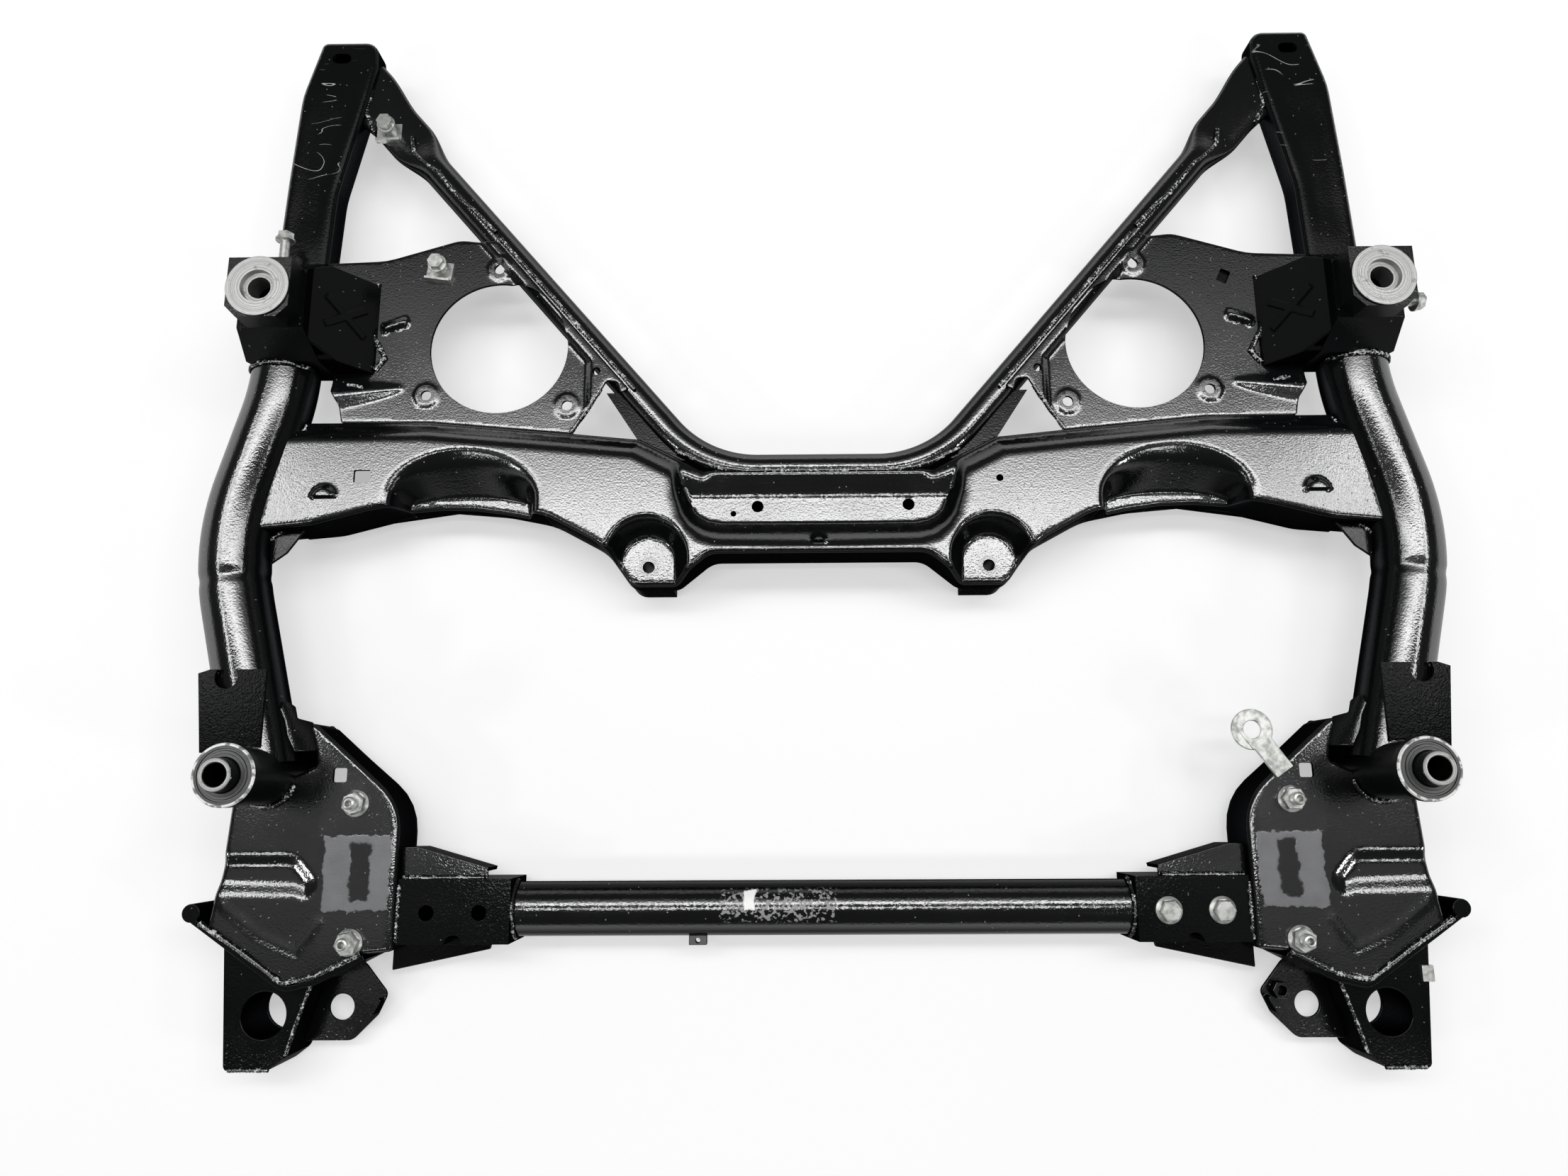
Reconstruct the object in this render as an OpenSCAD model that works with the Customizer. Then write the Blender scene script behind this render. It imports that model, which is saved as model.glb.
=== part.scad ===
// Front axle subframe of a car: tubes, pressed shells and brackets welded into one frame.
// It lies as it sits in the car. X runs across, Y to the rear, Z up.
// The origin is under the middle of the frame, on the plane that the frame rests on.
// Pieces are drawn for the right side (+X) and mirrored for the left.

/* [Overall] */
// Width of the frame over the side tubes' outer corners
frame_w = 1010; // [994:2:1026]

/* [Pressed sheet] */
// Thickness of the pressed sheets
sheet = 3; // [2:0.5:4]
// Height of the top face of the flat mounting plates
plate_z = 60; // [56:1:64]

/* [Side tubes] */
// Outer diameter of the side tubes
side_tube_d = 54; // [50:1:56]
// Wall of the side tubes
side_tube_wall = 3; // [2:0.5:4]
// Height of the side tubes' centre line
side_tube_z = 62; // [60:1:64]
// Distance of the side tubes' centre line from the frame's side at the towers
side_rear_in = 55; // [53:1:58]
// Place along the frame where the side tubes start to splay
side_splay_y = 101; // [96:1:106]
// Distance of the side tubes' outer corner from the frame's side
side_elbow_in = 20; // [15:1:25]
// Place of the outer corner along the frame
side_elbow_y = -33; // [-38:1:-28]
// Bend radius of the side tubes at the centre line
side_bend_r = 200; // [150:10:230]

/* [Front bushes] */
// Distance of the front bushes from the frame's side
bush_in = 68; // [65:1:71]
// Place of the front bushes along the frame
bush_y = -220; // [-222:1:-218]
// Outer diameter of the front bushes
bush_d = 47; // [44:1:50]
// Height of the front bushes' seats
bush_top_z = 127; // [115:1:135]
// Outer diameter of the centring sleeves
sleeve_d = 25; // [22:1:28]
// Bore of the centring sleeves
sleeve_bore_d = 17; // [14:0.5:19]
// How far the centring sleeves stand above the seats
sleeve_rise = 12; // [6:1:16]

/* [Rear towers] */
// Distance of the mount blocks from the frame's side
block_in = 65; // [61:1:65]
// Place of the mount blocks along the frame
block_y = 158; // [154:1:165]
// Width of a mount block
block_w = 50; // [48:1:54]
// Height of the mount blocks' seats
block_top_z = 142; // [135:1:150]
// Height of a mount block
block_h = 22; // [16:1:26]
// Bore of the mount blocks
block_bore_d = 18; // [14:0.5:22]
// Distance of the tower consoles' outboard faces from the frame's side
console_in = 33; // [31:1:35]
// Width of the tower consoles
console_w = 60; // [58:1:63]
// Front face of the tower consoles
console_front_y = 118; // [116:1:122]
// Rear face of the tower consoles
console_rear_y = 205; // [202:1:210]
// Height of the consoles' lower edge
console_foot_z = 46; // [42:1:50]
// Height at which the consoles start to narrow towards the blocks
console_knee_z = 88; // [84:1:92]
// How far the towers' sloped wings reach in over the engine plates
wing_run = 36; // [32:1:38]

/* [Rear arms] */
// Rear end of the arms
arm_tip_y = 440; // [432:1:448]
// Width of an arm at its tip
arm_tip_w = 43; // [40:1:46]
// Distance of the arm tip's outer corner from the frame's side
arm_tip_in = 59; // [55:1:63]
// Depth of an arm's pressed channel
arm_depth = 20; // [16:1:24]
// Width of the mounting slot in an arm's tip
arm_slot_w = 10; // [8:0.5:12]
// Length of the mounting slot in an arm's tip
arm_slot_len = 17; // [14:1:20]

/* [Brace] */
// Outer diameter of the brace tube
brace_d = 26; // [24:1:28]
// Wall of the brace tube
brace_wall = 2.5; // [1.5:0.5:3]
// Place of the brace's middle run along the frame
brace_y = 33; // [31:1:35]
// Where a leg's line meets the line of the middle run, from the middle, as a share of the frame's width
brace_corner_share = 0.095; // [0.092:0.001:0.098]
// Upper end of a leg, distance from the frame's side
brace_end_in = 108; // [105:1:111]
// Upper end of a leg, place along the frame
brace_end_y = 385; // [382:1:388]
// Length of a leg's end that is pressed flat
brace_flat_len = 86; // [80:1:95]
// Bend radius of the brace at the centre line
brace_bend_r = 100; // [80:5:120]

/* [Engine mount plates] */
// Distance of the engine holes from the middle, as a share of the frame's width
engine_share = 0.2683; // [0.2653:0.001:0.2713]
// Place of the engine holes along the frame
engine_y = 141; // [138:1:144]
// Diameter of the engine holes
engine_hole_d = 118; // [110:1:122]
// Diameter of the bolt holes round an engine hole
engine_bolt_d = 9; // [8:0.5:9.5]
// Rear edge of the plates beside the arms
engine_rear_y = 221; // [217:1:226]

/* [Crossmember] */
// Height of the crossmember's top
member_top_z = 75; // [72:1:80]
// Height of the seam between the crossmember's shells
member_seam_z = 34; // [30:1:38]
// Front edge of the crossmember in the middle
member_front_y = -44; // [-48:1:-40]
// Rear edge of the crossmember beside the engine holes
member_rear_y = 74; // [72:1:76]
// Width of the sloped rear shoulder
shoulder_run = 16; // [10:1:20]
// Step from the upper shell in to the lower shell's rim
seam_step = 1; // [0.5:0.25:1.5]
// How far the lower shell's tray stands back from the upper shell
tray_step = 9; // [8:0.5:10]

/* [Steering rack mounts] */
// Distance of the rack mounts from the middle, as a share of the frame's width
rack_share = 0.1386; // [0.1356:0.001:0.1416]
// Place of the rack mounts along the frame
rack_y = -51; // [-53:1:-49]
// Height of the rack mount seats
rack_seat_z = 53; // [48:1:58]
// Radius of the rack mount seats
rack_seat_r = 25; // [22:1:27]
// Bore of the rack mounts
rack_bore_d = 10; // [8:0.5:12]
// Outer diameter of the rack mount sleeves
rack_sleeve_d = 20; // [16:1:22]

/* [Front corners] */
// Width of the front corners, from the frame's side to their inboard face
corner_w = 175; // [171:1:179]
// Depth of the front corners
corner_depth = 43; // [38:1:46]
// Distance of the lip's outer end from the frame's side
lip_in = 18; // [14:1:22]
// Thickness of the front lip
lip_t = 4; // [3:0.5:5]
// Bore of the front boxes
box_bore_d = 35; // [30:1:38]
// Height of the front boxes
box_h = 46; // [42:1:50]
// How far the front boxes reach ahead of the front cross tube
box_reach = 117; // [113:1:121]
// Distance of the front boxes' outer face from the frame's side
box_in = 39; // [35:1:43]

/* [Front cross tube] */
// Outer diameter of the front cross tube
front_tube_d = 42; // [38:1:44]
// Wall of the front cross tube
front_tube_wall = 2.5; // [2:0.5:3.5]
// Place of the front cross tube along the frame
front_tube_y = -323; // [-325:1:-321]
// Height of the front cross tube's centre line
front_tube_z = 30; // [29:1:32]
// Length of the tube sockets
socket_len = 88; // [82:1:94]
// Diameter of the bolt holes in the sockets
socket_hole_d = 12; // [9:0.5:13]

/* [Fasteners] */
// Thread diameter of the corner studs
stud_d = 10; // [8:1:12]
// How far the studs stand above the plates
stud_rise = 16; // [13:1:24]
// Thread diameter of the small loose bolts
loose_bolt_d = 8; // [6:1:8]

/* [Hidden] */
$fn = 48;
black = "#1b1c1e";
bare = "#b9babb";
zinc = "#c9cac6";
eps = 1;
// A bent tube thins a little on its bends, which run a short way into the straight stretches
bend_thin = 0.3;
bend_lap = 0.2;

// Places across the frame, as distances from the middle
side_x = frame_w / 2;
brace_corner_x = brace_corner_share * frame_w;
engine_x = engine_share * frame_w;
rack_x = rack_share * frame_w;
side_rear_x = side_x - side_rear_in;
side_elbow_x = side_x - side_elbow_in;
bush_x = side_x - bush_in;
block_x = side_x - block_in;
console_out_x = side_x - console_in;
console_in_x = console_out_x - console_w;
arm_tip_x = side_x - arm_tip_in;
brace_end_x = side_x - brace_end_in;
corner_in_x = side_x - corner_w;
lip_x = side_x - lip_in;
box_out_x = side_x - box_in;
socket_in_x = corner_in_x - socket_len;

// Heights worked out from the plate and the tubes
under_plate_z = plate_z - sheet;
arm_top_z = plate_z + 2;
arm_foot_z = arm_top_z - arm_depth;
brace_z = plate_z - 10;
corner_floor_z = plate_z - corner_depth;
corner_inside_z = corner_floor_z + sheet;
console_top_z = block_top_z - block_h;

// Centre lines
side_end = [bush_x, bush_y] + 6 * unit([bush_x, bush_y], [side_elbow_x, side_elbow_y]);
side_path = [[side_rear_x, console_rear_y - sheet - 20], [side_rear_x, side_splay_y],
    [side_elbow_x, side_elbow_y], side_end];
brace_leg = unit([brace_corner_x, brace_y], [brace_end_x, brace_end_y]);
brace_round_end = [brace_end_x, brace_end_y] - brace_flat_len * brace_leg;
brace_path = [[-brace_round_end.x, brace_round_end.y], [-brace_corner_x, brace_y],
    [brace_corner_x, brace_y], brace_round_end];

// Plan outlines, as corners [x, y, radius] taken anticlockwise
arm_in_x = console_in_x + 13;
arm_corners = [[console_out_x - 2, console_rear_y, 0], [arm_tip_x + 20, arm_tip_y - 140, 200],
    [arm_tip_x + 15, arm_tip_y - 55, 80], [arm_tip_x, arm_tip_y, 7],
    [arm_tip_x - arm_tip_w - 7, arm_tip_y, 11], [arm_tip_x - arm_tip_w - 8, arm_tip_y - 24, 12],
    [arm_tip_x - arm_tip_w - 3, arm_tip_y - 52, 20], [arm_in_x - 4, arm_tip_y - 150, 100],
    [arm_in_x, console_rear_y, 0]];
arm_outline = rounded(arm_corners);

rack_front_y = rack_y - 16;
waist_r = frame_w / 4;
member_rear = [[side_rear_x - 9, member_rear_y], [engine_x + 54, member_rear_y],
    [engine_x - 64, member_rear_y - 11], [rack_x + 8, member_rear_y - 17], [brace_corner_x, brace_y - 3]];
member_half = rounded(concat(
    [[0, member_front_y, 0], [rack_x - 52, member_front_y, 20], [rack_x - 24, rack_front_y, 14],
     [rack_x + 14, rack_front_y, 14], [rack_x + 36, rack_y + 15, 40], [rack_x + 82, rack_y + 40, 60],
     [engine_x + 44, 8, waist_r], [side_elbow_x - 70, -18, 60], [side_elbow_x - 26, -22, 0]],
    [for (p = member_rear) concat(p, 0)]), open = true);
member_outline = both_sides(member_half);

plate_corners = [[member_rear[2].x - 2, member_rear[2].y, 0], [member_rear[1].x, member_rear_y, 0],
    [console_in_x, member_rear_y, 0], [console_in_x, console_rear_y, 0],
    [arm_in_x, console_rear_y, 0], [arm_in_x, engine_rear_y, 0], [engine_x + 102, engine_rear_y + 2, 60],
    [engine_x + 39, engine_rear_y + 21, 30], [leg_x(engine_rear_y + 17) + 6, engine_rear_y + 17, 0],
    [leg_x(engine_y - 49) + 6, engine_y - 49, 0], [engine_x - 92, engine_y - 48, 0]];
plate_outline = rounded(plate_corners);

corner_rear = [bush_x - 31, bush_y + 43];
corner_knee = [corner_in_x, bush_y - 20];
corner_front = [corner_in_x, front_tube_y - 29];
lip_line = rounded([[lip_x, front_tube_y - 2, 0], [corner_in_x + 80, front_tube_y - 54, 10],
    [corner_in_x + 58, front_tube_y - 49, 10], [corner_in_x + 22, front_tube_y - 31, 0]], open = true);
lip_ear_len = 16;
lip_inner = concat([lip_line[0] + lip_ear_len * unit(lip_line[0], lip_line[1])],
    [for (i = [1:len(lip_line) - 1]) lip_line[i]]);
corner_wall_line = rounded([concat(corner_rear, 0), concat(corner_knee, 50),
    concat(corner_front, 0)], open = true);
tongue_root = [bush_x - 36.3, bush_y + 20];
corner_outer = [[lip_x - 21, bush_y - 62], [bush_x + 26, bush_y - 12]];
bush_notch = rounded([[bush_x - 16, bush_y - 1, 0], [bush_x - 38, bush_y + 9, 4],
    concat(tongue_root, 0)], open = true);
corner_outline = concat(corner_wall_line, reversed(lip_inner), corner_outer,
    [[bush_x, bush_y]], bush_notch);
floor_outline = concat(corner_wall_line, reversed(lip_line), corner_outer,
    [[bush_x + 30, bush_y + 20], [bush_x, bush_y + 40]]);
pocket_outline = rounded([[lip_x - 13, bush_y - 83, 0], [lip_x - 15, bush_y - 63, 0],
    [corner_in_x + 82, bush_y - 63, 12], [corner_in_x + 62, bush_y - 82, 5],
    [corner_in_x + 69, bush_y - 89, 4], [corner_in_x + 78, bush_y - 86, 0]]);
pocket_depth = 4;
stud_places = [[corner_in_x + 35, bush_y - 20.5], [corner_in_x + 32.5, front_tube_y - 22]];

box_front_y = front_tube_y - box_reach;
box_rear_y = front_tube_y - 27;
box_outline = rounded([[box_out_x, box_rear_y, 0], [box_out_x - 78, box_rear_y - 2, 0],
    [box_out_x - 58, box_front_y + 22, 8], [box_out_x - 55, box_front_y + 10, 8],
    [box_out_x - 42, box_front_y, 6], [box_out_x - 8, box_front_y, 4]]);
box_hole = [box_out_x - 35.5, box_rear_y - 50];
ear_z = corner_floor_z - sheet;
ear_outline = rounded([[box_out_x - 56, box_rear_y - 74, 0], [box_out_x - 56, box_rear_y - 14, 0],
    [box_out_x - 99, box_rear_y - 14, 10], [box_out_x - 120, box_rear_y - 39, 6],
    [box_out_x - 113, box_rear_y - 55, 8], [box_out_x - 94, box_rear_y - 74, 8]]);
ear_hole = [box_out_x - 84, box_rear_y - 49];
ear_hole_d = 20;

socket_in = front_tube_d / 2 + 0.5;
socket_out = socket_in + sheet;
socket_front_y = front_tube_y - socket_out;
socket_rear_y = front_tube_y + socket_out;
socket_top_z = front_tube_z + socket_out;
socket_hole_xs = [socket_in_x + 24, socket_in_x + 65];
socket_hole_y = front_tube_y - 1;

function unit(a, b) = (b - a) / norm(b - a);
function left_of(u) = [-u.y, u.x];
function reversed(list) = [for (i = [len(list) - 1:-1:0]) list[i]];
function both_sides(half) = concat(half, [for (p = reversed(half)) if (p.x > 0) [-p.x, p.y]]);

// Corner b between a and c, turned into an arc of radius r
function corner_arc(a, b, c, r) =
    let (u = unit(b, a), v = unit(b, c), half = acos(u * v) / 2)
    let (mid = b + (r / sin(half)) * (u + v) / norm(u + v), start = b + u * r / tan(half))
    let (from = atan2(start.y - mid.y, start.x - mid.x), turn = 180 - 2 * half)
    let (side = u.x * v.y - u.y * v.x > 0 ? -1 : 1, steps = max(2, ceil(turn / 15)))
    [for (i = [0:steps]) mid + r * [cos(from + side * turn * i / steps),
        sin(from + side * turn * i / steps)]];

// Outline through corners [x, y, radius], closed or open
function rounded(corners, open = false) =
    let (n = len(corners))
    [for (i = [0:n - 1])
        let (b = [corners[i].x, corners[i].y], before = corners[(i + n - 1) % n],
            after = corners[(i + 1) % n])
        each (corners[i].z == 0 || open && (i == 0 || i == n - 1)) ? [b]
            : corner_arc([before.x, before.y], b, [after.x, after.y], corners[i].z)];

// Closed outline moved inwards by d
function inset(pts, d) =
    let (n = len(pts))
    [for (i = [0:n - 1])
        let (a = left_of(unit(pts[(i + n - 1) % n], pts[i])), b = left_of(unit(pts[i], pts[(i + 1) % n])))
        pts[i] + d * (a + b) / (1 + a * b)];

// Open line moved to its left by d
function offset_path(pts, d) =
    let (n = len(pts))
    [for (i = [0:n - 1])
        let (a = left_of(i == 0 ? unit(pts[0], pts[1]) : unit(pts[i - 1], pts[i])),
            b = left_of(i == n - 1 ? unit(pts[n - 2], pts[n - 1]) : unit(pts[i], pts[i + 1])))
        pts[i] + d * (a + b) / (1 + a * b)];

function strip(pts, d) = concat(pts, reversed(offset_path(pts, d)));

// Distance of a brace leg's centre line from the middle at a place along the frame
function leg_x(y) = brace_corner_x
    + (y - brace_y) * (brace_end_x - brace_corner_x) / (brace_end_y - brace_y);

// Signed turn of a path at its point i, and the straight length that the bend takes there
function turn_at(path, i) =
    let (u = unit(path[i - 1], path[i]), v = unit(path[i], path[i + 1]))
    atan2(u.x * v.y - u.y * v.x, u * v);
function bend_len(path, i, r) =
    i == 0 || i == len(path) - 1 ? 0 : r * tan(abs(turn_at(path, i)) / 2);

module prism(pts, z0, z1) {
    translate([0, 0, z0])
        linear_extrude(height = z1 - z0) polygon(pts);
}

module ring_profile(d, wall) {
    if (wall > 0)
        difference() {
            circle(d = d);
            circle(d = d - 2 * wall);
        }
    else
        circle(d = d);
}

// Bent tube along a flat path, a full rod where wall is 0
module bent_tube(path, r, d, wall, z) {
    last = len(path) - 1;
    translate([0, 0, z]) {
        for (i = [0:last - 1]) {
            u = unit(path[i], path[i + 1]);
            a = path[i] + u * bend_len(path, i, r);
            b = path[i + 1] - u * bend_len(path, i + 1, r);
            translate([a.x, a.y, 0])
                rotate([0, 90, atan2(u.y, u.x)])
                    linear_extrude(height = norm(b - a)) ring_profile(d, wall);
        }
        for (i = [1:last - 1]) {
            u = unit(path[i - 1], path[i]);
            turn = turn_at(path, i);
            start = path[i] - u * bend_len(path, i, r);
            mid = start + sign(turn) * r * left_of(u);
            from = atan2(start.y - mid.y, start.x - mid.x);
            translate([mid.x, mid.y, 0])
                rotate([0, 0, min(from, from + turn) - bend_lap])
                    rotate_extrude(angle = abs(turn) + 2 * bend_lap, $fn = 96)
                        translate([r, 0]) ring_profile(d - bend_thin, wall > 0 ? wall - bend_thin : 0);
        }
    }
}

module side_rod() {
    bent_tube(side_path, side_bend_r, side_tube_d, 0, side_tube_z);
}

module bush_rod() {
    translate([bush_x, bush_y, 0]) cylinder(d = bush_d, h = bush_top_z);
}

module brace_rod() {
    bent_tube(brace_path, brace_bend_r, brace_d, 0, brace_z);
}

module hex_bolt_head(d, flange_d, h) {
    cylinder(d = flange_d, h = h / 4);
    cylinder(d = d, h = h, $fn = 6);
}

// Side tubes
module side_tube_right() {
    color(black)
        difference() {
            bent_tube(side_path, side_bend_r, side_tube_d, side_tube_wall, side_tube_z);
            bush_rod();
        }
}
module side_tube_left() mirror([1, 0, 0]) side_tube_right();

// Rear arms: a pressed channel and the flat sheet that closes it
module arm_slot() {
    place = [arm_tip_x - 19, arm_tip_y - 18, 0];
    straight = arm_slot_len - arm_slot_w;
    translate(place)
        for (s = [-1, 1])
            translate([s * straight / 2, 0, 0]) cylinder(d = arm_slot_w, h = arm_top_z + eps);
    translate(place - [straight / 2, arm_slot_w / 2, 0])
        cube([straight, arm_slot_w, arm_top_z + eps]);
}
module rear_arm_right() {
    color(black)
        difference() {
            prism(arm_outline, arm_foot_z, arm_top_z);
            prism(inset(arm_outline, sheet), arm_foot_z - eps, arm_top_z - sheet);
            arm_slot();
        }
}
module rear_arm_left() mirror([1, 0, 0]) rear_arm_right();
module arm_cover_right() {
    color(black)
        difference() {
            prism(arm_outline, arm_foot_z - sheet, arm_foot_z);
            arm_slot();
        }
}
module arm_cover_left() mirror([1, 0, 0]) arm_cover_right();

// Brace: one bent tube across the frame, its ends pressed flat against the arms
module brace_foot() {
    root = brace_round_end - [brace_end_x, brace_end_y] - 20 * brace_leg;
    edge = 0.42 * brace_d * left_of(brace_leg);
    foot = concat([[7, 27], [-15, 3]], [root + 26 * brace_leg + 1.3 * edge, root + edge, root - edge,
        root + 26 * brace_leg - 1.2 * edge], [[-11, -44], [22, -44], [22, 27]]);
    difference() {
        prism([for (p = foot) [brace_end_x, brace_end_y] + p], brace_z - 4, brace_z + 4);
        prism(arm_outline, 0, plate_z + arm_depth);
    }
}
module brace_tube() {
    color(black) {
        bent_tube(brace_path, brace_bend_r, brace_d, brace_wall, brace_z);
        brace_foot();
        mirror([1, 0, 0]) brace_foot();
    }
}

// Engine mount plates, with a flange turned down beside the brace
module bolt_places() {
    for (p = [[2.8, 72.4], [60, -43], [-60, -53]])
        translate([engine_x + p.x, engine_y + p.y, 0]) children();
}
module plate_form() {
    flange_line = [[engine_x - 88, engine_y - 52], [member_rear[2].x + 2, member_rear[2].y + 3]];
    difference() {
        union() {
            prism(plate_outline, under_plate_z, plate_z);
            prism(strip(flange_line, sheet), plate_z - 24, under_plate_z);
            bolt_places() translate([0, 0, plate_z - sheet / 2]) cylinder(d = 20, h = 2.5);
            plate_cone();
            plate_lap();
            translate([console_in_x - wing_run - 15, engine_y + 21, under_plate_z])
                rotate([0, 0, -20])
                    translate([-11, -3.5, 0]) cube([22, 7, sheet + 4]);
        }
        translate([engine_x, engine_y, 0]) cylinder(d = engine_hole_d, h = lap_z + eps, $fn = 96);
        bolt_places() cylinder(d = engine_bolt_d, h = lap_z + eps);
        translate([engine_x - 85, engine_y - 24, 0]) cylinder(d = 7, h = lap_z + eps);
        brace_rod();
        member_body(0);
        prism(arm_outline, arm_foot_z, arm_top_z);
    }
}
// Edge of the plate that laps over the brace and is welded along its crest
lap_z = brace_z + brace_d / 2 + sheet - 1;
lap_w = 12;
module plate_lap() {
    ys = [engine_y - 49, engine_rear_y + 17];
    prism(strip([for (y = ys) [leg_x(y), y]], -lap_w), under_plate_z, lap_z);
}
// Stiffening half cone that runs from the console into the plate
module plate_cone() {
    cone_len = 66;
    intersection() {
        translate([console_in_x + 3, console_front_y - 21, under_plate_z])
            rotate([0, -90, -6]) cylinder(r1 = 13, r2 = 1, h = cone_len);
        translate([console_in_x - cone_len, console_front_y - 40, under_plate_z])
            cube([cone_len, 40, cone_len]);
    }
}
module engine_plate_right() {
    color(black)
        difference() {
            plate_form();
            translate([engine_x + 80, engine_y + 60, 0])
                rotate([0, 0, -26])
                    translate([-4.5, -6, 0]) cube([9, 12, plate_z + eps]);
        }
}
module engine_plate_left() color(black) mirror([1, 0, 0]) plate_form();

// Rear towers: a box console over the side tube, a sloped wing and the mount block
// Below its knee the console's outboard wall leans in to the side tube
console_lean = 0.26;
function console_side(low_z) = [[console_front_y, low_z], [console_rear_y, low_z],
    [console_rear_y, console_knee_z], [block_y + block_w / 2, console_top_z],
    [block_y - block_w / 2, console_top_z], [console_front_y, console_knee_z]];
module console_body(t) {
    low_z = console_foot_z - 2 * t;
    tuck = console_lean * (console_knee_z - low_z);
    front = [[console_in_x, low_z], [console_out_x - tuck, low_z], [console_out_x, console_knee_z],
        [block_x + block_w / 2, console_top_z], [console_in_x, console_top_z]];
    intersection() {
        translate([console_in_x, 0, 0])
            rotate([90, 0, 90])
                linear_extrude(height = console_w) polygon(inset(console_side(low_z), t));
        translate([0, console_rear_y, 0])
            rotate([90, 0, 0])
                linear_extrude(height = console_rear_y - console_front_y) polygon(inset(front, t));
    }
}
module console_cut() {
    difference() {
        console_body(0);
        console_body(sheet);
        side_rod();
        translate([block_x, block_y, console_foot_z])
            cylinder(d = block_bore_d, h = console_top_z);
    }
}
module tower_console_right() {
    color(black)
        difference() {
            console_cut();
            at_side_bolt() cylinder(d = loose_bolt_d, h = side_bolt_len);
        }
}
module tower_console_left() {
    color(black)
        difference() {
            mirror([1, 0, 0]) console_cut();
            at_rear_bolt() cylinder(d = loose_bolt_d, h = rear_bolt_len);
        }
}
wing_rise = console_top_z - 10 - plate_z;
module tower_wing_right() {
    slope = atan2(wing_rise, wing_run);
    foot = sheet / sin(slope);
    drop = sheet / cos(slope);
    length = console_rear_y - 6 - console_front_y;
    color(black)
        intersection() {
            translate([console_in_x, console_rear_y - 6, plate_z])
                rotate([90, 0, 0]) {
                    linear_extrude(height = length)
                        polygon([[0, wing_rise], [-wing_run, 0], [foot - wing_run, 0],
                            [0, wing_rise - drop]]);
                    for (z = [0, length - sheet])
                        translate([0, 0, z])
                            linear_extrude(height = sheet)
                                polygon([[0, wing_rise], [-wing_run, 0], [0, 0]]);
                    translate([-wing_run / 2, wing_rise / 2, length / 2])
                        rotate([0, 0, slope])
                            for (a = [-35, 35])
                                rotate([0, a, 0]) translate([-22, -1, -3]) cube([44, 3, 6]);
                }
            translate([console_in_x - 2 * wing_run, 0, 0])
                rotate([90, 0, 90])
                    linear_extrude(height = 2 * wing_run) polygon(console_side(console_foot_z));
        }
}
module tower_wing_left() mirror([1, 0, 0]) tower_wing_right();
module mount_block_right() {
    cut = 9;
    half = block_w / 2;
    octagon = [[half, -half + cut], [half, half], [-half, half], [-half, -half + cut],
        [-half + cut, -half], [half - cut, -half]];
    color(bare)
        translate([block_x, block_y, console_top_z])
            difference() {
                union() {
                    prism(octagon, 0, block_h - 1.5);
                    cylinder(d = block_w, h = block_h);
                }
                translate([0, 0, -eps]) cylinder(d = block_bore_d, h = block_h + 2 * eps);
                translate([0, 0, block_h - 4]) cylinder(d = block_bore_d + 9, h = 4 + eps);
            }
}
module mount_block_left() mirror([1, 0, 0]) mount_block_right();

// Crossmember: the upper shell is a solid form less the same form moved in by the sheet
scoop_z = 48;
pan_z = 58;
pan_rear_y = brace_y - 19;
band_slope = 22;
pan_end_x = brace_corner_x + 22;
pan_corner = [brace_corner_x - 8, member_front_y + 20, 16];
pan_outline = rounded([[-pan_end_x, pan_rear_y, 0], [-pan_corner.x, pan_corner.y, pan_corner.z], pan_corner,
    [pan_end_x, pan_rear_y, 0]]);
module shoulder_cuts(t) {
    slope = atan2(member_top_z - plate_z, shoulder_run);
    for (i = [0:len(member_rear) - 2]) {
        a = member_rear[i];
        u = unit(a, member_rear[i + 1]);
        translate([a.x, a.y, plate_z])
            rotate([0, 0, atan2(u.y, u.x)])
                rotate([slope, 0, 0])
                    translate([-20, -40, -t]) cube([norm(member_rear[i + 1] - a) + 40, 80, 40]);
    }
}
module scoop(t) {
    scoop_xs = [engine_x - 15, engine_x + 57];
    scoop_y = member_rear_y - 49;
    scoop_r = 24;
    scoop_w = scoop_xs[1] - scoop_xs[0];
    translate([0, 0, scoop_z - t]) {
        for (x = scoop_xs)
            translate([x, scoop_y, 0]) cylinder(r = scoop_r + t, h = 50);
        translate([scoop_xs[0], scoop_y, 0]) cube([scoop_w, scoop_r + t, 50]);
        translate([scoop_xs[0] - scoop_r - t, scoop_y - 65, 0])
            cube([scoop_w + 2 * (scoop_r + t), 65, 50]);
    }
}
module rack_recess(t) {
    wide = rack_seat_r + 3 + t;
    translate([rack_x, rack_y + 4, rack_seat_z - t]) {
        cylinder(r = wide, h = 50);
        translate([-wide, -50, 0]) cube([2 * wide, 50, 50]);
    }
}
module member_body(t) {
    difference() {
        prism(inset(member_outline, t), -t, member_top_z - t);
        for (s = [0, 1])
            mirror([s, 0, 0]) {
                shoulder_cuts(t);
                scoop(t);
                rack_recess(t);
            }
        prism(inset(pan_outline, -t), pan_z - t, member_top_z + eps);
        translate([-pan_end_x - t, pan_rear_y, pan_z])
            rotate([band_slope, 0, 0])
                translate([0, -1, -t]) cube([2 * (pan_end_x + t), 60, 50]);
    }
}
module half_moon(x, y, r) {
    translate([x, y, 0])
        difference() {
            cylinder(r = r, h = 100);
            translate([-2 * r, -2 * r, -eps]) cube([4 * r, 2 * r, 102]);
        }
}
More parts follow.
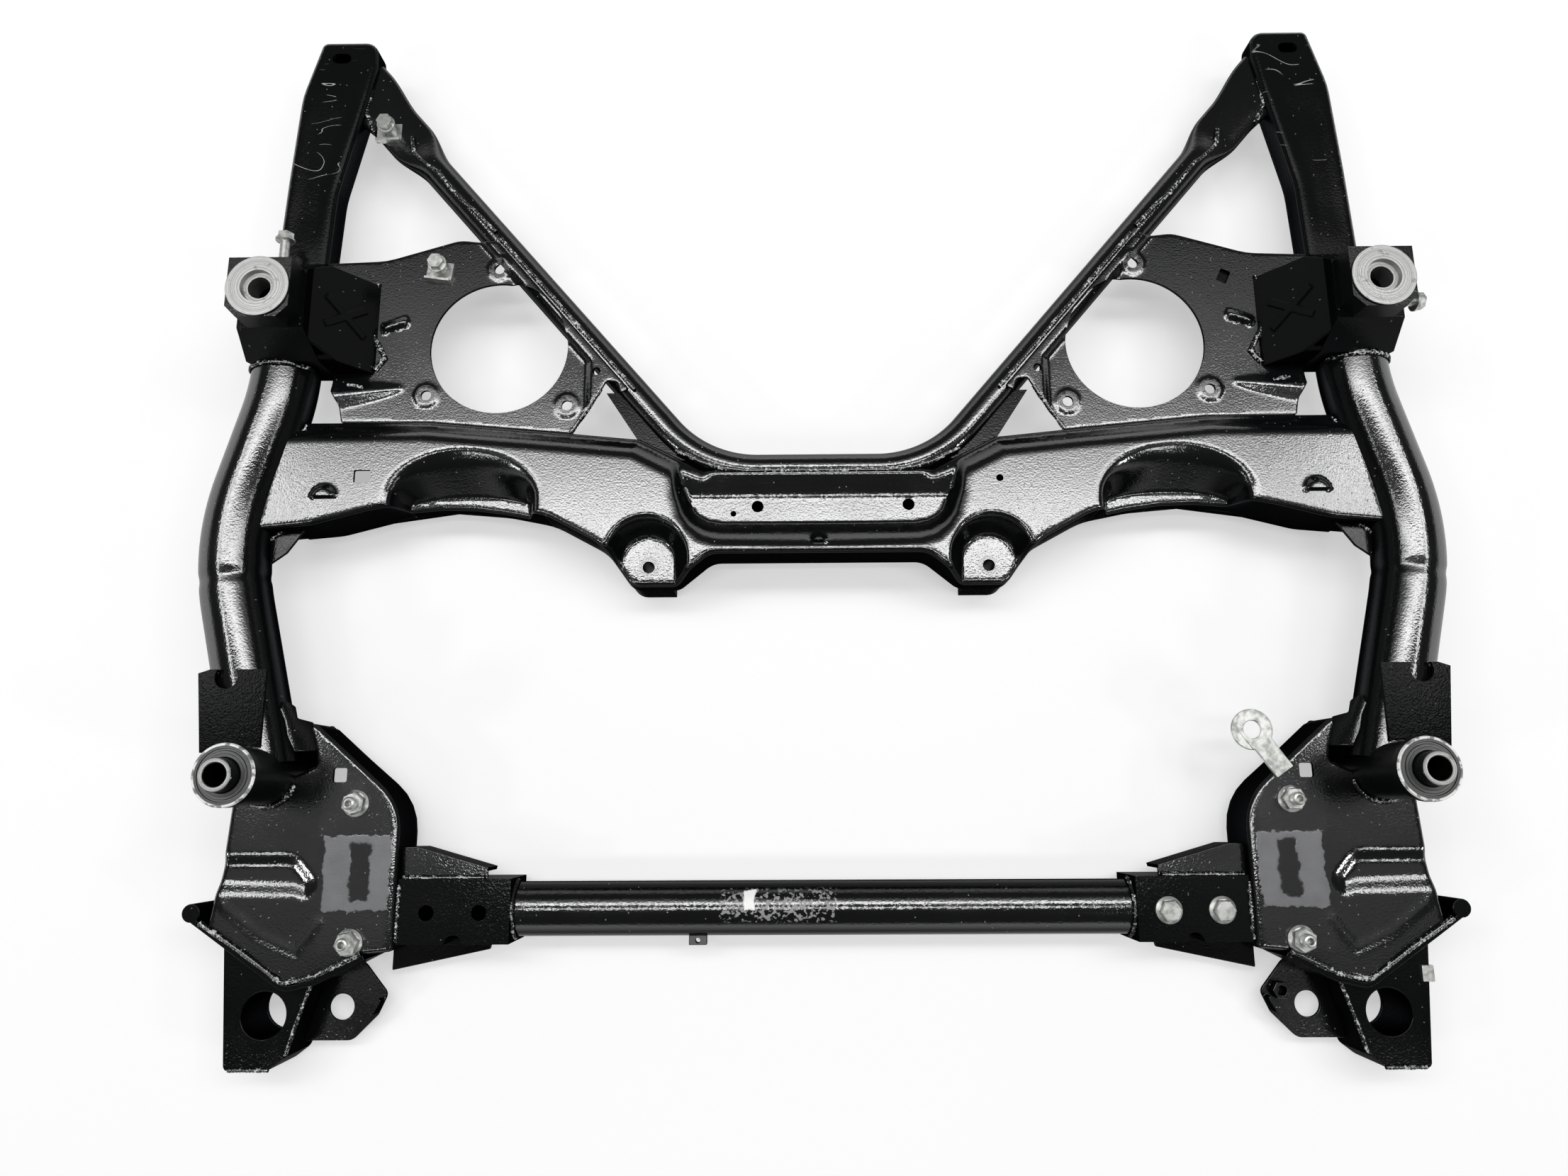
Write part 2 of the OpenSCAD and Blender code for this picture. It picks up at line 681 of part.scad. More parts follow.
module crossmember_upper() {
    color(black)
        difference() {
            member_body(0);
            member_body(sheet);
            translate([-side_x, -side_x, -eps]) cube([frame_w, frame_w, member_seam_z + eps]);
            brace_rod();
            for (s = [0, 1])
                mirror([s, 0, 0]) {
                    side_rod();
                    translate([rack_x, rack_y, 0]) cylinder(d = rack_bore_d, h = 100);
                    half_moon(side_elbow_x - 81, 5, 11);
                }
            translate([104 - side_elbow_x, 17, 40]) cube([14, 11, 50]);
            for (p = [[-50, -1, 10], [75, 0, 10], [-70, -7, 5], [148, 17, 6]])
                translate([p.x, p.y, 40]) cylinder(d = p.z, h = 50);
        }
}
// The lower shell's tray, flush with the upper shell only below the rack seats
module tray_body(t) {
    lobe = rack_sleeve_d + 16 - 2 * t;
    prism(inset(member_outline, tray_step + t), t, member_seam_z + t);
    for (s = [-1, 1])
        intersection() {
            prism(inset(member_outline, seam_step + t), t, member_seam_z + t);
            translate([s * rack_x - lobe / 2, rack_y - lobe, 0]) cube([lobe, 1.6 * lobe, member_top_z]);
        }
}
module crossmember_lower() {
    color(black)
        difference() {
            union() {
                tray_body(0);
                prism(inset(member_outline, seam_step), member_seam_z - sheet, member_seam_z);
            }
            tray_body(sheet);
            for (s = [-1, 1])
                translate([s * rack_x, rack_y, -eps]) cylinder(d = rack_bore_d, h = 20);
        }
}
module rack_sleeves() {
    color(bare)
        for (s = [-1, 1])
            translate([s * rack_x, rack_y, sheet])
                difference() {
                    cylinder(d = rack_sleeve_d, h = rack_seat_z - 2 * sheet);
                    translate([0, 0, -eps]) cylinder(d = rack_bore_d, h = rack_seat_z);
                }
}
module end_gusset_right() {
    gusset = [[side_elbow_x - 68, -8], [side_elbow_x - 47, -38], [side_elbow_x - 20, -58],
        [side_elbow_x - 10, -8]];
    color(black)
        difference() {
            prism(gusset, under_plate_z, plate_z);
            side_rod();
            member_body(0);
        }
}
module end_gusset_left() mirror([1, 0, 0]) end_gusset_right();

// Short strut between the brace and the crossmember, under the engine plate's corner
module brace_strut_right() {
    low_y = brace_y + 7;
    high_y = engine_y - 41;
    strut = [[leg_x(low_y) + 2, low_y], [leg_x(low_y) + 37, low_y], [leg_x(high_y) + 25, high_y],
        [leg_x(high_y) + 2, high_y]];
    color(black)
        difference() {
            prism(strut, under_plate_z - sheet, under_plate_z);
            brace_rod();
            member_body(0);
        }
}
module brace_strut_left() mirror([1, 0, 0]) brace_strut_right();

// Front corners: upper pressing, lower pressing with its lip, bush and tube end cap
// The upper pressing's tongue is bent up along the side tube's flank
tongue = [[0, sheet], [23.6, sheet], [28.5, -8.5], [37.8, -8.5], [44.7, -15.6], [37.6, -21.2], [27.6, -19],
    [16.6, -19], [2.3, -16]];
module corner_tongue() {
    u = unit([bush_x, bush_y], [side_elbow_x, side_elbow_y]);
    translate([tongue_root.x, tongue_root.y, plate_z])
        rotate([-45, 0, atan2(u.y, u.x)])
            translate([0, 0, -sheet])
                linear_extrude(height = sheet) polygon(tongue);
}
module corner_upper_right() {
    pocket_floor_z = plate_z - pocket_depth;
    color(black)
        difference() {
            union() {
                prism(corner_outline, under_plate_z, plate_z);
                prism(strip(corner_wall_line, sheet), corner_inside_z, under_plate_z);
                corner_tongue();
                intersection() {
                    prism(inset(pocket_outline, -sheet), pocket_floor_z - sheet, plate_z);
                    prism(corner_outline, 0, plate_z);
                }
            }
            prism(pocket_outline, pocket_floor_z, plate_z + eps);
            side_rod();
            bush_rod();
            for (p = stud_places)
                translate([p.x, p.y, corner_inside_z]) cylinder(d = stud_d, h = corner_depth);
            translate([corner_in_x + 44, bush_y - 4, corner_inside_z]) cube([11, 11, corner_depth]);
        }
}
module corner_upper_left() mirror([1, 0, 0]) corner_upper_right();
module corner_shell() {
    prism(floor_outline, corner_floor_z, corner_inside_z);
    prism(strip(lip_line, lip_t), corner_floor_z, plate_z);
    translate([lip_x, front_tube_y, corner_floor_z]) cylinder(d = 14, h = corner_depth);
}
module corner_lower_right() color(black) corner_shell();
module corner_lower_left() mirror([1, 0, 0]) corner_lower_right();
module front_bush_right() {
    color(bare)
        translate([bush_x, bush_y, corner_inside_z])
            difference() {
                cylinder(d = bush_d, h = bush_top_z - corner_inside_z);
                translate([0, 0, -eps]) cylinder(d = sleeve_d, h = bush_top_z);
            }
}
module front_bush_left() mirror([1, 0, 0]) front_bush_right();
module centring_sleeves() {
    seat = 30;
    color(bare)
        for (s = [-1, 1])
            translate([s * bush_x, bush_y, bush_top_z - seat])
                difference() {
                    cylinder(d = sleeve_d, h = seat + sleeve_rise);
                    translate([0, 0, -eps]) cylinder(d = sleeve_bore_d, h = seat + 2 * sleeve_rise);
                }
}
module tube_end_cap_right() {
    cap_z = side_tube_z + side_tube_d / 2 - 1;
    rear_x = bush_x + 46;
    front_x = bush_x + 39;
    outer_line = [[front_x, bush_y + 18], [rear_x, bush_y + 79]];
    cap = concat([[bush_x - 7, bush_y + 18]], outer_line,
        [[rear_x - 9, bush_y + 82], [bush_x - 7, bush_y + 82]]);
    color(black)
        difference() {
            union() {
                prism(cap, cap_z, cap_z + sheet);
                prism(strip(outer_line, sheet), side_tube_z + 8, cap_z);
            }
            side_rod();
            bush_rod();
            translate([bush_x + 24, bush_y + 76, 0]) cylinder(d = 18, h = 200);
        }
}
module tube_end_cap_left() mirror([1, 0, 0]) tube_end_cap_right();

// Front boxes under the lips, with their sleeves and the ears beside them
module box_bore(d) {
    translate([box_hole.x, box_hole.y, -eps]) cylinder(d = d, h = box_h + 2 * eps);
}
module front_box_right() {
    color(black)
        difference() {
            prism(box_outline, 0, box_h);
            prism(inset(box_outline, sheet), sheet, box_h - sheet);
            box_bore(box_bore_d);
            corner_shell();
            prism(floor_outline, corner_inside_z, plate_z);
        }
}
module front_box_left() mirror([1, 0, 0]) front_box_right();
module box_sleeve_right() {
    color(black)
        translate([box_hole.x, box_hole.y, sheet])
            difference() {
                cylinder(d = box_bore_d + 6, h = box_h - 2 * sheet);
                translate([0, 0, -eps]) cylinder(d = box_bore_d + 1, h = box_h);
            }
}
module box_sleeve_left() mirror([1, 0, 0]) box_sleeve_right();
module ear_bracket_right() {
    tab_line = [[ear_hole.x - 34, ear_hole.y + 6], [ear_hole.x - 28, ear_hole.y - 5]];
    color(black)
        difference() {
            union() {
                prism(ear_outline, ear_z, ear_z + sheet);
                prism(strip(tab_line, sheet), ear_z + sheet, ear_z + 12);
            }
            translate([ear_hole.x, ear_hole.y, 0]) cylinder(d = ear_hole_d, h = plate_z);
            prism(box_outline, 0, box_h);
        }
}
module ear_bracket_left() mirror([1, 0, 0]) ear_bracket_right();

// Front cross tube, its sockets and their gussets
front_tube_len = 2 * (socket_in_x + 14);
module front_rod(d, length) {
    translate([-length / 2, front_tube_y, front_tube_z]) rotate([0, 90, 0]) cylinder(d = d, h = length);
}
module front_tube() {
    color(black)
        difference() {
            front_rod(front_tube_d, front_tube_len);
            front_rod(front_tube_d - 2 * front_tube_wall, front_tube_len + 2 * eps);
            for (x = [13, 154])
                translate([x, front_tube_y + 11, front_tube_z]) cylinder(d = 7, h = front_tube_d);
            translate([-147, front_tube_y - front_tube_d, front_tube_z + 12])
                cube([9, front_tube_d, 3]);
        }
}
module tube_socket_right() {
    length = corner_in_x - socket_in_x;
    color(black)
        difference() {
            translate([socket_in_x, socket_front_y, front_tube_z - socket_out])
                cube([length, 2 * socket_out, 2 * socket_out]);
            translate([socket_in_x + 2 * sheet, front_tube_y - socket_in, front_tube_z - socket_in])
                cube([length, 2 * socket_in, 2 * socket_in]);
            front_rod(front_tube_d, front_tube_len);
            for (x = socket_hole_xs)
                translate([x, socket_hole_y, front_tube_z]) cylinder(d = socket_hole_d, h = front_tube_d);
            translate([socket_in_x + 43, socket_front_y, front_tube_z + 10])
                cylinder(d = 14, h = front_tube_d);
        }
}
module tube_socket_left() mirror([1, 0, 0]) tube_socket_right();
module upper_gusset_right() {
    top_z = plate_z - 11;
    edge = [[corner_in_x, socket_rear_y + 24], [corner_in_x - 12, socket_rear_y + 24],
        [socket_in_x + 20, socket_rear_y + 8]];
    color(black) {
        prism(concat(edge, [[socket_in_x + 20, socket_rear_y], [corner_in_x, socket_rear_y]]),
            top_z - sheet, top_z);
        prism(strip(edge, sheet), corner_inside_z, top_z - sheet);
    }
}
module upper_gusset_left() mirror([1, 0, 0]) upper_gusset_right();
module lower_gusset_right() {
    low = [[socket_in_x + 22, socket_front_y], [socket_in_x + 24, socket_front_y - 8],
        [corner_in_x - 34, socket_front_y - 14], [corner_in_x + 14, socket_front_y - 24],
        [corner_in_x + 14, socket_front_y]];
    color(black)
        difference() {
            prism(low, ear_z, corner_floor_z);
            prism(ear_outline, 0, plate_z);
        }
}
module lower_gusset_left() mirror([1, 0, 0]) lower_gusset_right();

// Fasteners and small fittings
module corner_studs() {
    head = 6;
    color(zinc)
        for (s = [-1, 1], p = stud_places)
            translate([s * p.x, p.y, 0]) {
                translate([0, 0, under_plate_z - head]) cylinder(d = 1.6 * stud_d, h = head);
                translate([0, 0, under_plate_z]) cylinder(d = stud_d, h = sheet + stud_rise);
            }
}
module stud_nuts() {
    nut_h = 0.9 * stud_d;
    color(zinc)
        for (s = [-1, 1], p = stud_places)
            translate([s * p.x, p.y, plate_z])
                difference() {
                    hex_bolt_head(1.75 * stud_d, 2.1 * stud_d, nut_h);
                    translate([0, 0, -eps]) cylinder(d = stud_d, h = nut_h + 2 * eps);
                }
}
clip_seats = [[16 - brace_end_x, brace_end_y - 32, brace_z + 4, 0],
    [-engine_x - 54, engine_rear_y - 7, plate_z, -8]];
module clip_nuts() {
    color(zinc)
        for (c = clip_seats)
            translate([c.x, c.y, c.z])
                rotate([0, 0, c[3]])
                    difference() {
                        union() {
                            translate([-11, -12, 0]) cube([22, 18, 2]);
                            translate([-11, -12, 2]) cube([22, 2, 4]);
                            cylinder(d = loose_bolt_d + 4, h = 8);
                        }
                        translate([0, 0, -eps]) cylinder(d = loose_bolt_d, h = 10);
                    }
}
module loose_bolt(shank) {
    cylinder(d = loose_bolt_d, h = shank);
    translate([0, 0, shank]) hex_bolt_head(1.75 * loose_bolt_d, 2 * loose_bolt_d, 7);
}
module clip_bolts() {
    color(zinc)
        for (c = clip_seats)
            translate([c.x, c.y, c.z]) loose_bolt(10);
}
side_bolt_z = console_top_z - 12;
side_bolt_len = 20;
side_bolt_x = console_out_x - (console_out_x - block_x - block_w / 2)
    * (side_bolt_z - console_knee_z) / (console_top_z - console_knee_z);
rear_bolt_len = 33;
module at_rear_bolt() {
    translate([-block_x - 13, console_rear_y - sheet - 4, console_knee_z - 8])
        rotate([-90, 0, 0]) children();
}
module at_side_bolt() {
    translate([side_bolt_x - sheet - 4, block_y - 6, side_bolt_z]) rotate([0, 90, 0]) children();
}
module tower_bolts() {
    color(zinc) {
        at_rear_bolt() loose_bolt(rear_bolt_len);
        at_side_bolt() loose_bolt(side_bolt_len);
    }
}
module socket_bolts() {
    color(zinc)
        for (x = socket_hole_xs)
            translate([x, socket_hole_y, socket_top_z]) {
                translate([0, 0, -sheet - 6]) cylinder(d = socket_hole_d, h = sheet + 6);
                hex_bolt_head(17, 21, 8);
            }
}
module ear_weld_nut() {
    color(black)
        translate([ear_hole.x - 22, ear_hole.y + 11, ear_z + sheet])
            difference() {
                cylinder(d = 14, h = 7, $fn = 6);
                translate([0, 0, -eps]) cylinder(d = loose_bolt_d, h = 10);
            }
}
module ground_tab() {
    eye = [corner_in_x + 9, bush_y + 33];
    root = [corner_in_x + 32, bush_y];
    eye_d = 32;
    width = 16;
    u = unit(eye, root);
    color(zinc)
        translate([0, 0, plate_z])
            linear_extrude(height = sheet)
                difference() {
                    union() {
                        translate(eye) circle(d = eye_d);
                        polygon([for (k = [[eye, -1], [root, -1], [root, 1], [eye, 1]])
                            k[0] + k[1] * width / 2 * left_of(u)]);
                    }
                    translate(eye) circle(d = 14);
                }
}
module cable_clip() {
    color(black)
        difference() {
            translate([-105, front_tube_y - front_tube_d / 2 - 7, front_tube_z - 4]) cube([14, 14, 8]);
            front_rod(front_tube_d, front_tube_len);
            translate([-98, front_tube_y - front_tube_d / 2 - 3.5, 0]) cylinder(d = 4, h = plate_z);
        }
}
module spring_clip() {
    color(zinc)
        difference() {
            translate([box_out_x - 8, box_rear_y - 28, box_h - 16]) cube([9, 12, 18]);
            prism(box_outline, 0, box_h);
            corner_shell();
        }
}

side_tube_left();
side_tube_right();
rear_arm_left();
rear_arm_right();
arm_cover_left();
arm_cover_right();
brace_tube();
engine_plate_left();
engine_plate_right();
tower_console_left();
tower_console_right();
tower_wing_left();
tower_wing_right();
mount_block_left();
mount_block_right();
crossmember_upper();
crossmember_lower();
rack_sleeves();
end_gusset_left();
end_gusset_right();
brace_strut_left();
brace_strut_right();
corner_upper_left();
corner_upper_right();
corner_lower_left();
corner_lower_right();
front_bush_left();
front_bush_right();
centring_sleeves();
tube_end_cap_left();
tube_end_cap_right();
front_box_left();
front_box_right();
box_sleeve_left();
box_sleeve_right();
ear_bracket_left();
ear_bracket_right();
front_tube();
tube_socket_left();
tube_socket_right();
upper_gusset_left();
upper_gusset_right();
lower_gusset_left();
lower_gusset_right();
corner_studs();
stud_nuts();
clip_nuts();
clip_bolts();
tower_bolts();
socket_bolts();
ear_weld_nut();
ground_tab();
cable_clip();
spring_clip();
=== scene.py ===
"""Looks of a welded front axle subframe: black dip coat, turned seats and zinc plated fasteners."""
import math

import bmesh
import bpy
import numpy as np
from mathutils import Matrix, Vector
from mathutils.geometry import delaunay_2d_cdt


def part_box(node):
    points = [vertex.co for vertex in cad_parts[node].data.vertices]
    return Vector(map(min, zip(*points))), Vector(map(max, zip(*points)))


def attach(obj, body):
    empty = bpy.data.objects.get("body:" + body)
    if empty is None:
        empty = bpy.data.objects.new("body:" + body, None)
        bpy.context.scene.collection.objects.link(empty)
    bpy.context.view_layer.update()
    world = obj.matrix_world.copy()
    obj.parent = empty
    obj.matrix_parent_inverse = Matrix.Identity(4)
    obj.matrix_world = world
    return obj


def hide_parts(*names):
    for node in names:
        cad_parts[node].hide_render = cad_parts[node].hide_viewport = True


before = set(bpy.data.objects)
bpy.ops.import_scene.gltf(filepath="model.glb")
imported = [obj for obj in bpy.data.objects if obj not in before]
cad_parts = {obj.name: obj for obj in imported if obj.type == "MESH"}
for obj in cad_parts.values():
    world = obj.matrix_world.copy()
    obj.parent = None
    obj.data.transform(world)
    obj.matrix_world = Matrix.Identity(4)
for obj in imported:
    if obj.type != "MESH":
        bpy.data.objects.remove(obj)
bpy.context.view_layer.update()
MM = 0.001
SIDES = {"left": -1, "right": 1}


def box_mm(node):
    """Lowest and highest corner of a CAD node, in millimetres."""
    low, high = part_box(node)
    return np.array(low) / MM, np.array(high) / MM


def half_and_middle(node, axis):
    """Half of a CAD node's size along one axis, and its middle there."""
    low, high = box_mm(node)
    return (high - low)[axis] / 2, (high + low)[axis] / 2


# Sizes in millimetres, taken from the frame
SHEET = 3.0
PLATE_Z = box_mm("end_gusset_right")[1][2]
SEAM_Z = box_mm("crossmember_upper")[0][2]
MEMBER_TOP = box_mm("crossmember_upper")[1][2]
ARM_FOOT, ARM_TOP = (box_mm("rear_arm_right")[k][2] for k in (0, 1))
SIDE_R, SIDE_Z = half_and_middle("side_tube_right", 2)
BRACE_R, BRACE_Z = half_and_middle("brace_tube", 2)
FRONT_R, FRONT_Z = half_and_middle("front_tube", 2)
FRONT_Y = half_and_middle("front_tube", 1)[1]
BLOCK = sum(box_mm("mount_block_right")) / 2
BLOCK_TOP = box_mm("mount_block_right")[1][2]
BUSH = sum(box_mm("front_bush_right")) / 2
BUSH_FOOT, BUSH_TOP = (box_mm("front_bush_right")[k][2] for k in (0, 1))
BUSH_R = half_and_middle("front_bush_right", 0)[0]
SLEEVE_TOP = box_mm("centring_sleeves")[1][2]
SOCKET_IN, SOCKET_OUT = (box_mm("tube_socket_right")[k] for k in (0, 1))

# Places in millimetres that the pressings and tubes share, for the right side
RACK = np.array([140.0, -51.0])
RACK_SEAT = 53.0
ENGINE = np.array([271.0, 141.0])
ENGINE_R = 59.0
BOLT_PLACES = [ENGINE + p for p in ([2.8, 72.4], [60, -43], [-60, -53])]
BRACE_CORNER = np.array([96.0, 33.0])
BRACE_END = np.array([397.0, 385.0])
STUDS = [[365.0, -240.5], [362.5, -345.0]]
SIDE_PATH = [[450, 182], [450, 101], [485, -33], [BUSH[0] + 1.5, BUSH[1] + 6]]
MEMBER_REAR = [[441, 74], [325, 74], [207, 63], [148, 57], [96, 30]]
PAN_FLOOR = 58.0
SCOOP_FLOOR = 48.0
SCOOP_X = 292.0
CORNER_X = 330.0


# Plane geometry

def unit(v):
    v = np.asarray(v, float)
    return v / np.linalg.norm(v)


def rounded(corners, closed=True, step=7.5):
    """Outline through corners (x, y, radius), with each radius as an arc."""
    points = []
    count = len(corners)
    for i, (x, y, r) in enumerate(corners):
        b = np.array([x, y], float)
        if r == 0 or not closed and i in (0, count - 1):
            points.append(b)
            continue
        u = unit(np.array(corners[i - 1][:2]) - b)
        v = unit(np.array(corners[(i + 1) % count][:2]) - b)
        half = math.acos(np.clip(u @ v, -1, 1)) / 2
        middle = b + r / math.sin(half) * unit(u + v)
        start = b + u * r / math.tan(half) - middle
        turn = (math.pi - 2 * half) * (-1 if u[0] * v[1] - u[1] * v[0] > 0 else 1)
        steps = max(2, math.ceil(abs(math.degrees(turn)) / step))
        for k in range(steps + 1):
            c, s = math.cos(turn * k / steps), math.sin(turn * k / steps)
            points.append(middle + [c * start[0] - s * start[1], s * start[0] + c * start[1]])
    return np.array(points)


def vertex_normals(points):
    """Left-hand mitre direction at each point of a closed outline."""
    ahead = np.roll(points, -1, 0) - points
    ahead /= np.linalg.norm(ahead, axis=1)[:, None]
    left = np.stack([-ahead[:, 1], ahead[:, 0]], 1)
    before = np.roll(left, 1, 0)
    return (left + before) / (1 + (left * before).sum(1))[:, None].clip(0.4)


def inset(points, d):
    return points + d * vertex_normals(points)


def densified(points, step, closed=True):
    """The same line with points no further apart than step."""
    points = np.asarray(points, float)
    ends = np.roll(points, -1, 0) if closed else points[1:]
    out = []
    for a, b in zip(points, ends):
        n = max(1, math.ceil(np.linalg.norm(b - a) / step))
        out += [a + (b - a) * k / n for k in range(n)]
    return np.array(out if closed else out + [points[-1]])


def mirrored_outline(half):
    """Closed outline from its right half, given anticlockwise from the middle line."""
    return np.vstack([half, half[half[:, 0] > 0][::-1] * [-1, 1]])


def line_distance(x, y, points, closed=False):
    """Distance of each place from a line of points."""
    points = np.asarray(points, float)
    ends = np.roll(points, -1, 0) if closed else points[1:]
    best = np.full(np.shape(x), 1e9)
    for a, b in zip(points, ends):
        d = b - a
        t = np.clip(((x - a[0]) * d[0] + (y - a[1]) * d[1]) / max(d @ d, 1e-9), 0, 1)
        best = np.minimum(best, np.hypot(x - a[0] - t * d[0], y - a[1] - t * d[1]))
    return best


def inside(x, y, points):
    """True for each place inside a closed outline."""
    odd = np.zeros(np.shape(x), bool)
    for a, b in zip(points, np.roll(points, -1, 0)):
        crosses = (a[1] > y) != (b[1] > y)
        with np.errstate(divide="ignore", invalid="ignore"):
            odd ^= crosses & (x < (b[0] - a[0]) * (y - a[1]) / (b[1] - a[1]) + a[0])
    return odd


def outline_distance(x, y, points):
    """Distance from a closed outline, negative inside it."""
    d = line_distance(x, y, points, closed=True)
    return np.where(inside(x, y, points), -d, d)


def ease(t):
    t = np.clip(t, 0, 1)
    return t * t * (3 - 2 * t)


def soft_min(a, b, k):
    h = np.clip(0.5 + 0.5 * (b - a) / k, 0, 1)
    return b * (1 - h) + a * h - k * h * (1 - h)


def soft_max(a, b, k):
    return -soft_min(-a, -b, k)


def circle(centre, r, count=28):
    """Hole outline, taken clockwise."""
    t = -np.linspace(0, 2 * math.pi, count, endpoint=False)
    return np.array(centre) + r * np.stack([np.cos(t), np.sin(t)], 1)


def quad(centre, w, h, turn=0.0, r=1.5):
    """Rectangular hole with rounded corners."""
    c, s = math.cos(math.radians(turn)), math.sin(math.radians(turn))
    a, b = w / 2, h / 2
    flat = rounded([[-a, -b, r], [a, -b, r], [a, b, r], [-a, b, r]], step=30)
    return (flat @ np.array([[c, s], [-s, c]]) + np.array(centre))[::-1]


def leg_x(y):
    """Distance of a brace leg's centre line from the middle."""
    way = BRACE_END - BRACE_CORNER
    return BRACE_CORNER[0] + (y - BRACE_CORNER[1]) * way[0] / way[1]


# Mesh helpers

def add_object(name, points, faces, smooth=True, edges=()):
    """New mesh object from points in millimetres."""
    mesh = bpy.data.meshes.new(name)
    mesh.from_pydata(np.asarray(points, float) * MM, list(edges), faces)
    mesh.update()
    if smooth and faces:
        mesh.shade_smooth()
    obj = bpy.data.objects.new(name, mesh)
    bpy.context.scene.collection.objects.link(obj)
    return obj


def baked(obj):
    """The object with its modifiers turned into a plain mesh."""
    bpy.context.view_layer.update()
    graph = bpy.context.evaluated_depsgraph_get()
    mesh = bpy.data.meshes.new_from_object(obj.evaluated_get(graph))
    old = obj.data
    obj.modifiers.clear()
    obj.data = mesh
    mesh.name = obj.name
    bpy.data.meshes.remove(old)
    return obj


def sharpen(obj, angle):
    """Smooth faces, with hard edges where the surface turns by more than angle degrees."""
    obj.data.shade_smooth()
    obj.data.set_sharp_from_angle(angle=math.radians(angle))
    return obj


def flip_x(points, faces):
    """The mirror image of a mesh, with its faces turned to point outwards again."""
    return np.asarray(points) * [-1, 1, 1], [tuple(reversed(f)) for f in faces]


def press_shell(name, outline, height, holes=(), edge_r=4.0, foot=None, grid=3.0, side=1):
    """A pressed sheet: its top follows height(x, y), its edge is round, its wall ends at foot(x, y)."""
    ring = densified(inset(outline, edge_r), grid)
    loops = [ring] + [densified(h, grid) for h in holes]
    low, high = ring.min(0), ring.max(0)
    xs, ys = np.arange(low[0], high[0], grid), np.arange(low[1], high[1], grid * 0.866)
    gx, gy = np.meshgrid(xs, ys)
    gx = gx + (np.arange(len(ys)) % 2)[:, None] * grid / 2
    gx, gy = gx.ravel(), gy.ravel()
    keep = outline_distance(gx, gy, ring) < -0.55 * grid
    for h in loops[1:]:
        keep &= outline_distance(gx, gy, h) > 0.55 * grid
    flat = np.vstack(loops + [np.stack([gx, gy], 1)[keep]])
    edges, start = [], 0
    for loop in loops:
        n = len(loop)
        edges += [(start + i, start + (i + 1) % n) for i in range(n)]
        start += n
    made = delaunay_2d_cdt([Vector(p) for p in flat], edges, [], 0, 1e-5)
    verts = np.array([tuple(v) for v in made[0]])
    index = {old: new for new, olds in enumerate(made[3]) for old in olds}
    tris = np.array(made[2])
    middle = verts[tris].mean(1)
    good = inside(middle[:, 0], middle[:, 1], ring)
    for h in loops[1:]:
        good &= ~inside(middle[:, 0], middle[:, 1], h)
    points = np.column_stack([verts, height(verts[:, 0], verts[:, 1])])
    faces = [tuple(t) for t in tris[good]]
    around = [index[i] for i in range(len(ring))]
    normals = vertex_normals(ring)
    edge_z = points[around, 2]
    levels = [(math.sin(t), 1 - math.cos(t)) for t in np.linspace(0, math.pi / 2, 5)[1:]]
    previous = around
    rows = [(edge_r * a, edge_z - edge_r * b) for a, b in levels]
    if foot is not None:
        rows.append((edge_r, np.minimum(foot(ring[:, 0], ring[:, 1]), edge_z - edge_r - 0.1)))
    for out, z in rows:
        first = len(points)
        points = np.vstack([points, np.column_stack([ring - normals * out, z])])
        here = list(range(first, first + len(ring)))
        for i in range(len(ring)):
            j = (i + 1) % len(ring)
            faces.append((previous[i], here[i], here[j], previous[j]))
        previous = here
    if side < 0:
        points, faces = flip_x(points, faces)
    obj = add_object(name, points, faces)
    wall = obj.modifiers.new("wall", "SOLIDIFY")
    wall.thickness = SHEET * MM
    wall.offset = -1
    return sharpen(baked(obj), 48)


def bent_line(corners, r, step=4.0):
    """Centre line through flat corners, with every inner corner as a bend of radius r."""
    line = rounded([[x, y, r if 0 < i < len(corners) - 1 else 0] for i, (x, y) in enumerate(corners)],
                   closed=False, step=2)
    return densified(line, step, closed=False)


def band(a, b, count):
    """Faces between two rings of points that start at a and at b."""
    return [(a + k, a + (k + 1) % count, b + (k + 1) % count, b + k) for k in range(count)]


def sweep(name, line, section, count):
    """A closed skin along a line. section(i) gives half width, half height, height and squareness."""
    turn = np.linspace(0, 2 * math.pi, count, endpoint=False)
    ahead = np.gradient(line, axis=0)
    ahead /= np.linalg.norm(ahead, axis=1)[:, None]
    left = np.stack([-ahead[:, 1], ahead[:, 0]], 1)
    points = []
    for i, p in enumerate(line):
        wide, tall, z, square = section(i)
        c, s = np.cos(turn), np.sin(turn)
        a = np.sign(c) * np.abs(c) ** square * wide
        b = np.sign(s) * np.abs(s) ** square * tall
        points.append(np.column_stack([p[0] + left[i, 0] * a, p[1] + left[i, 1] * a, z + b]))
    rows = len(line)
    faces = [f for i in range(rows - 1) for f in band(i * count, (i + 1) * count, count)]
    faces += [tuple(reversed(range(count))), tuple(range((rows - 1) * count, rows * count))]
    obj = add_object(name, np.vstack(points), faces)
    recalc(obj)
    return sharpen(obj, 50)


def lathe(name, centres, profile):
    """Turned pieces about upright axes, from a closed profile of (radius, height)."""
    points, faces = [], []
    count = 72
    turn = np.linspace(0, 2 * math.pi, count, endpoint=False)
    for cx, cy in centres:
        starts = [len(points) + i * count for i in range(len(profile))]
        for r, z in profile:
            points += [(cx + r * math.cos(t), cy + r * math.sin(t), z) for t in turn]
        faces += [f for a, b in zip(starts, starts[1:] + starts[:1]) for f in band(a, b, count)]
    return sharpen(recalc(add_object(name, points, faces)), 40)


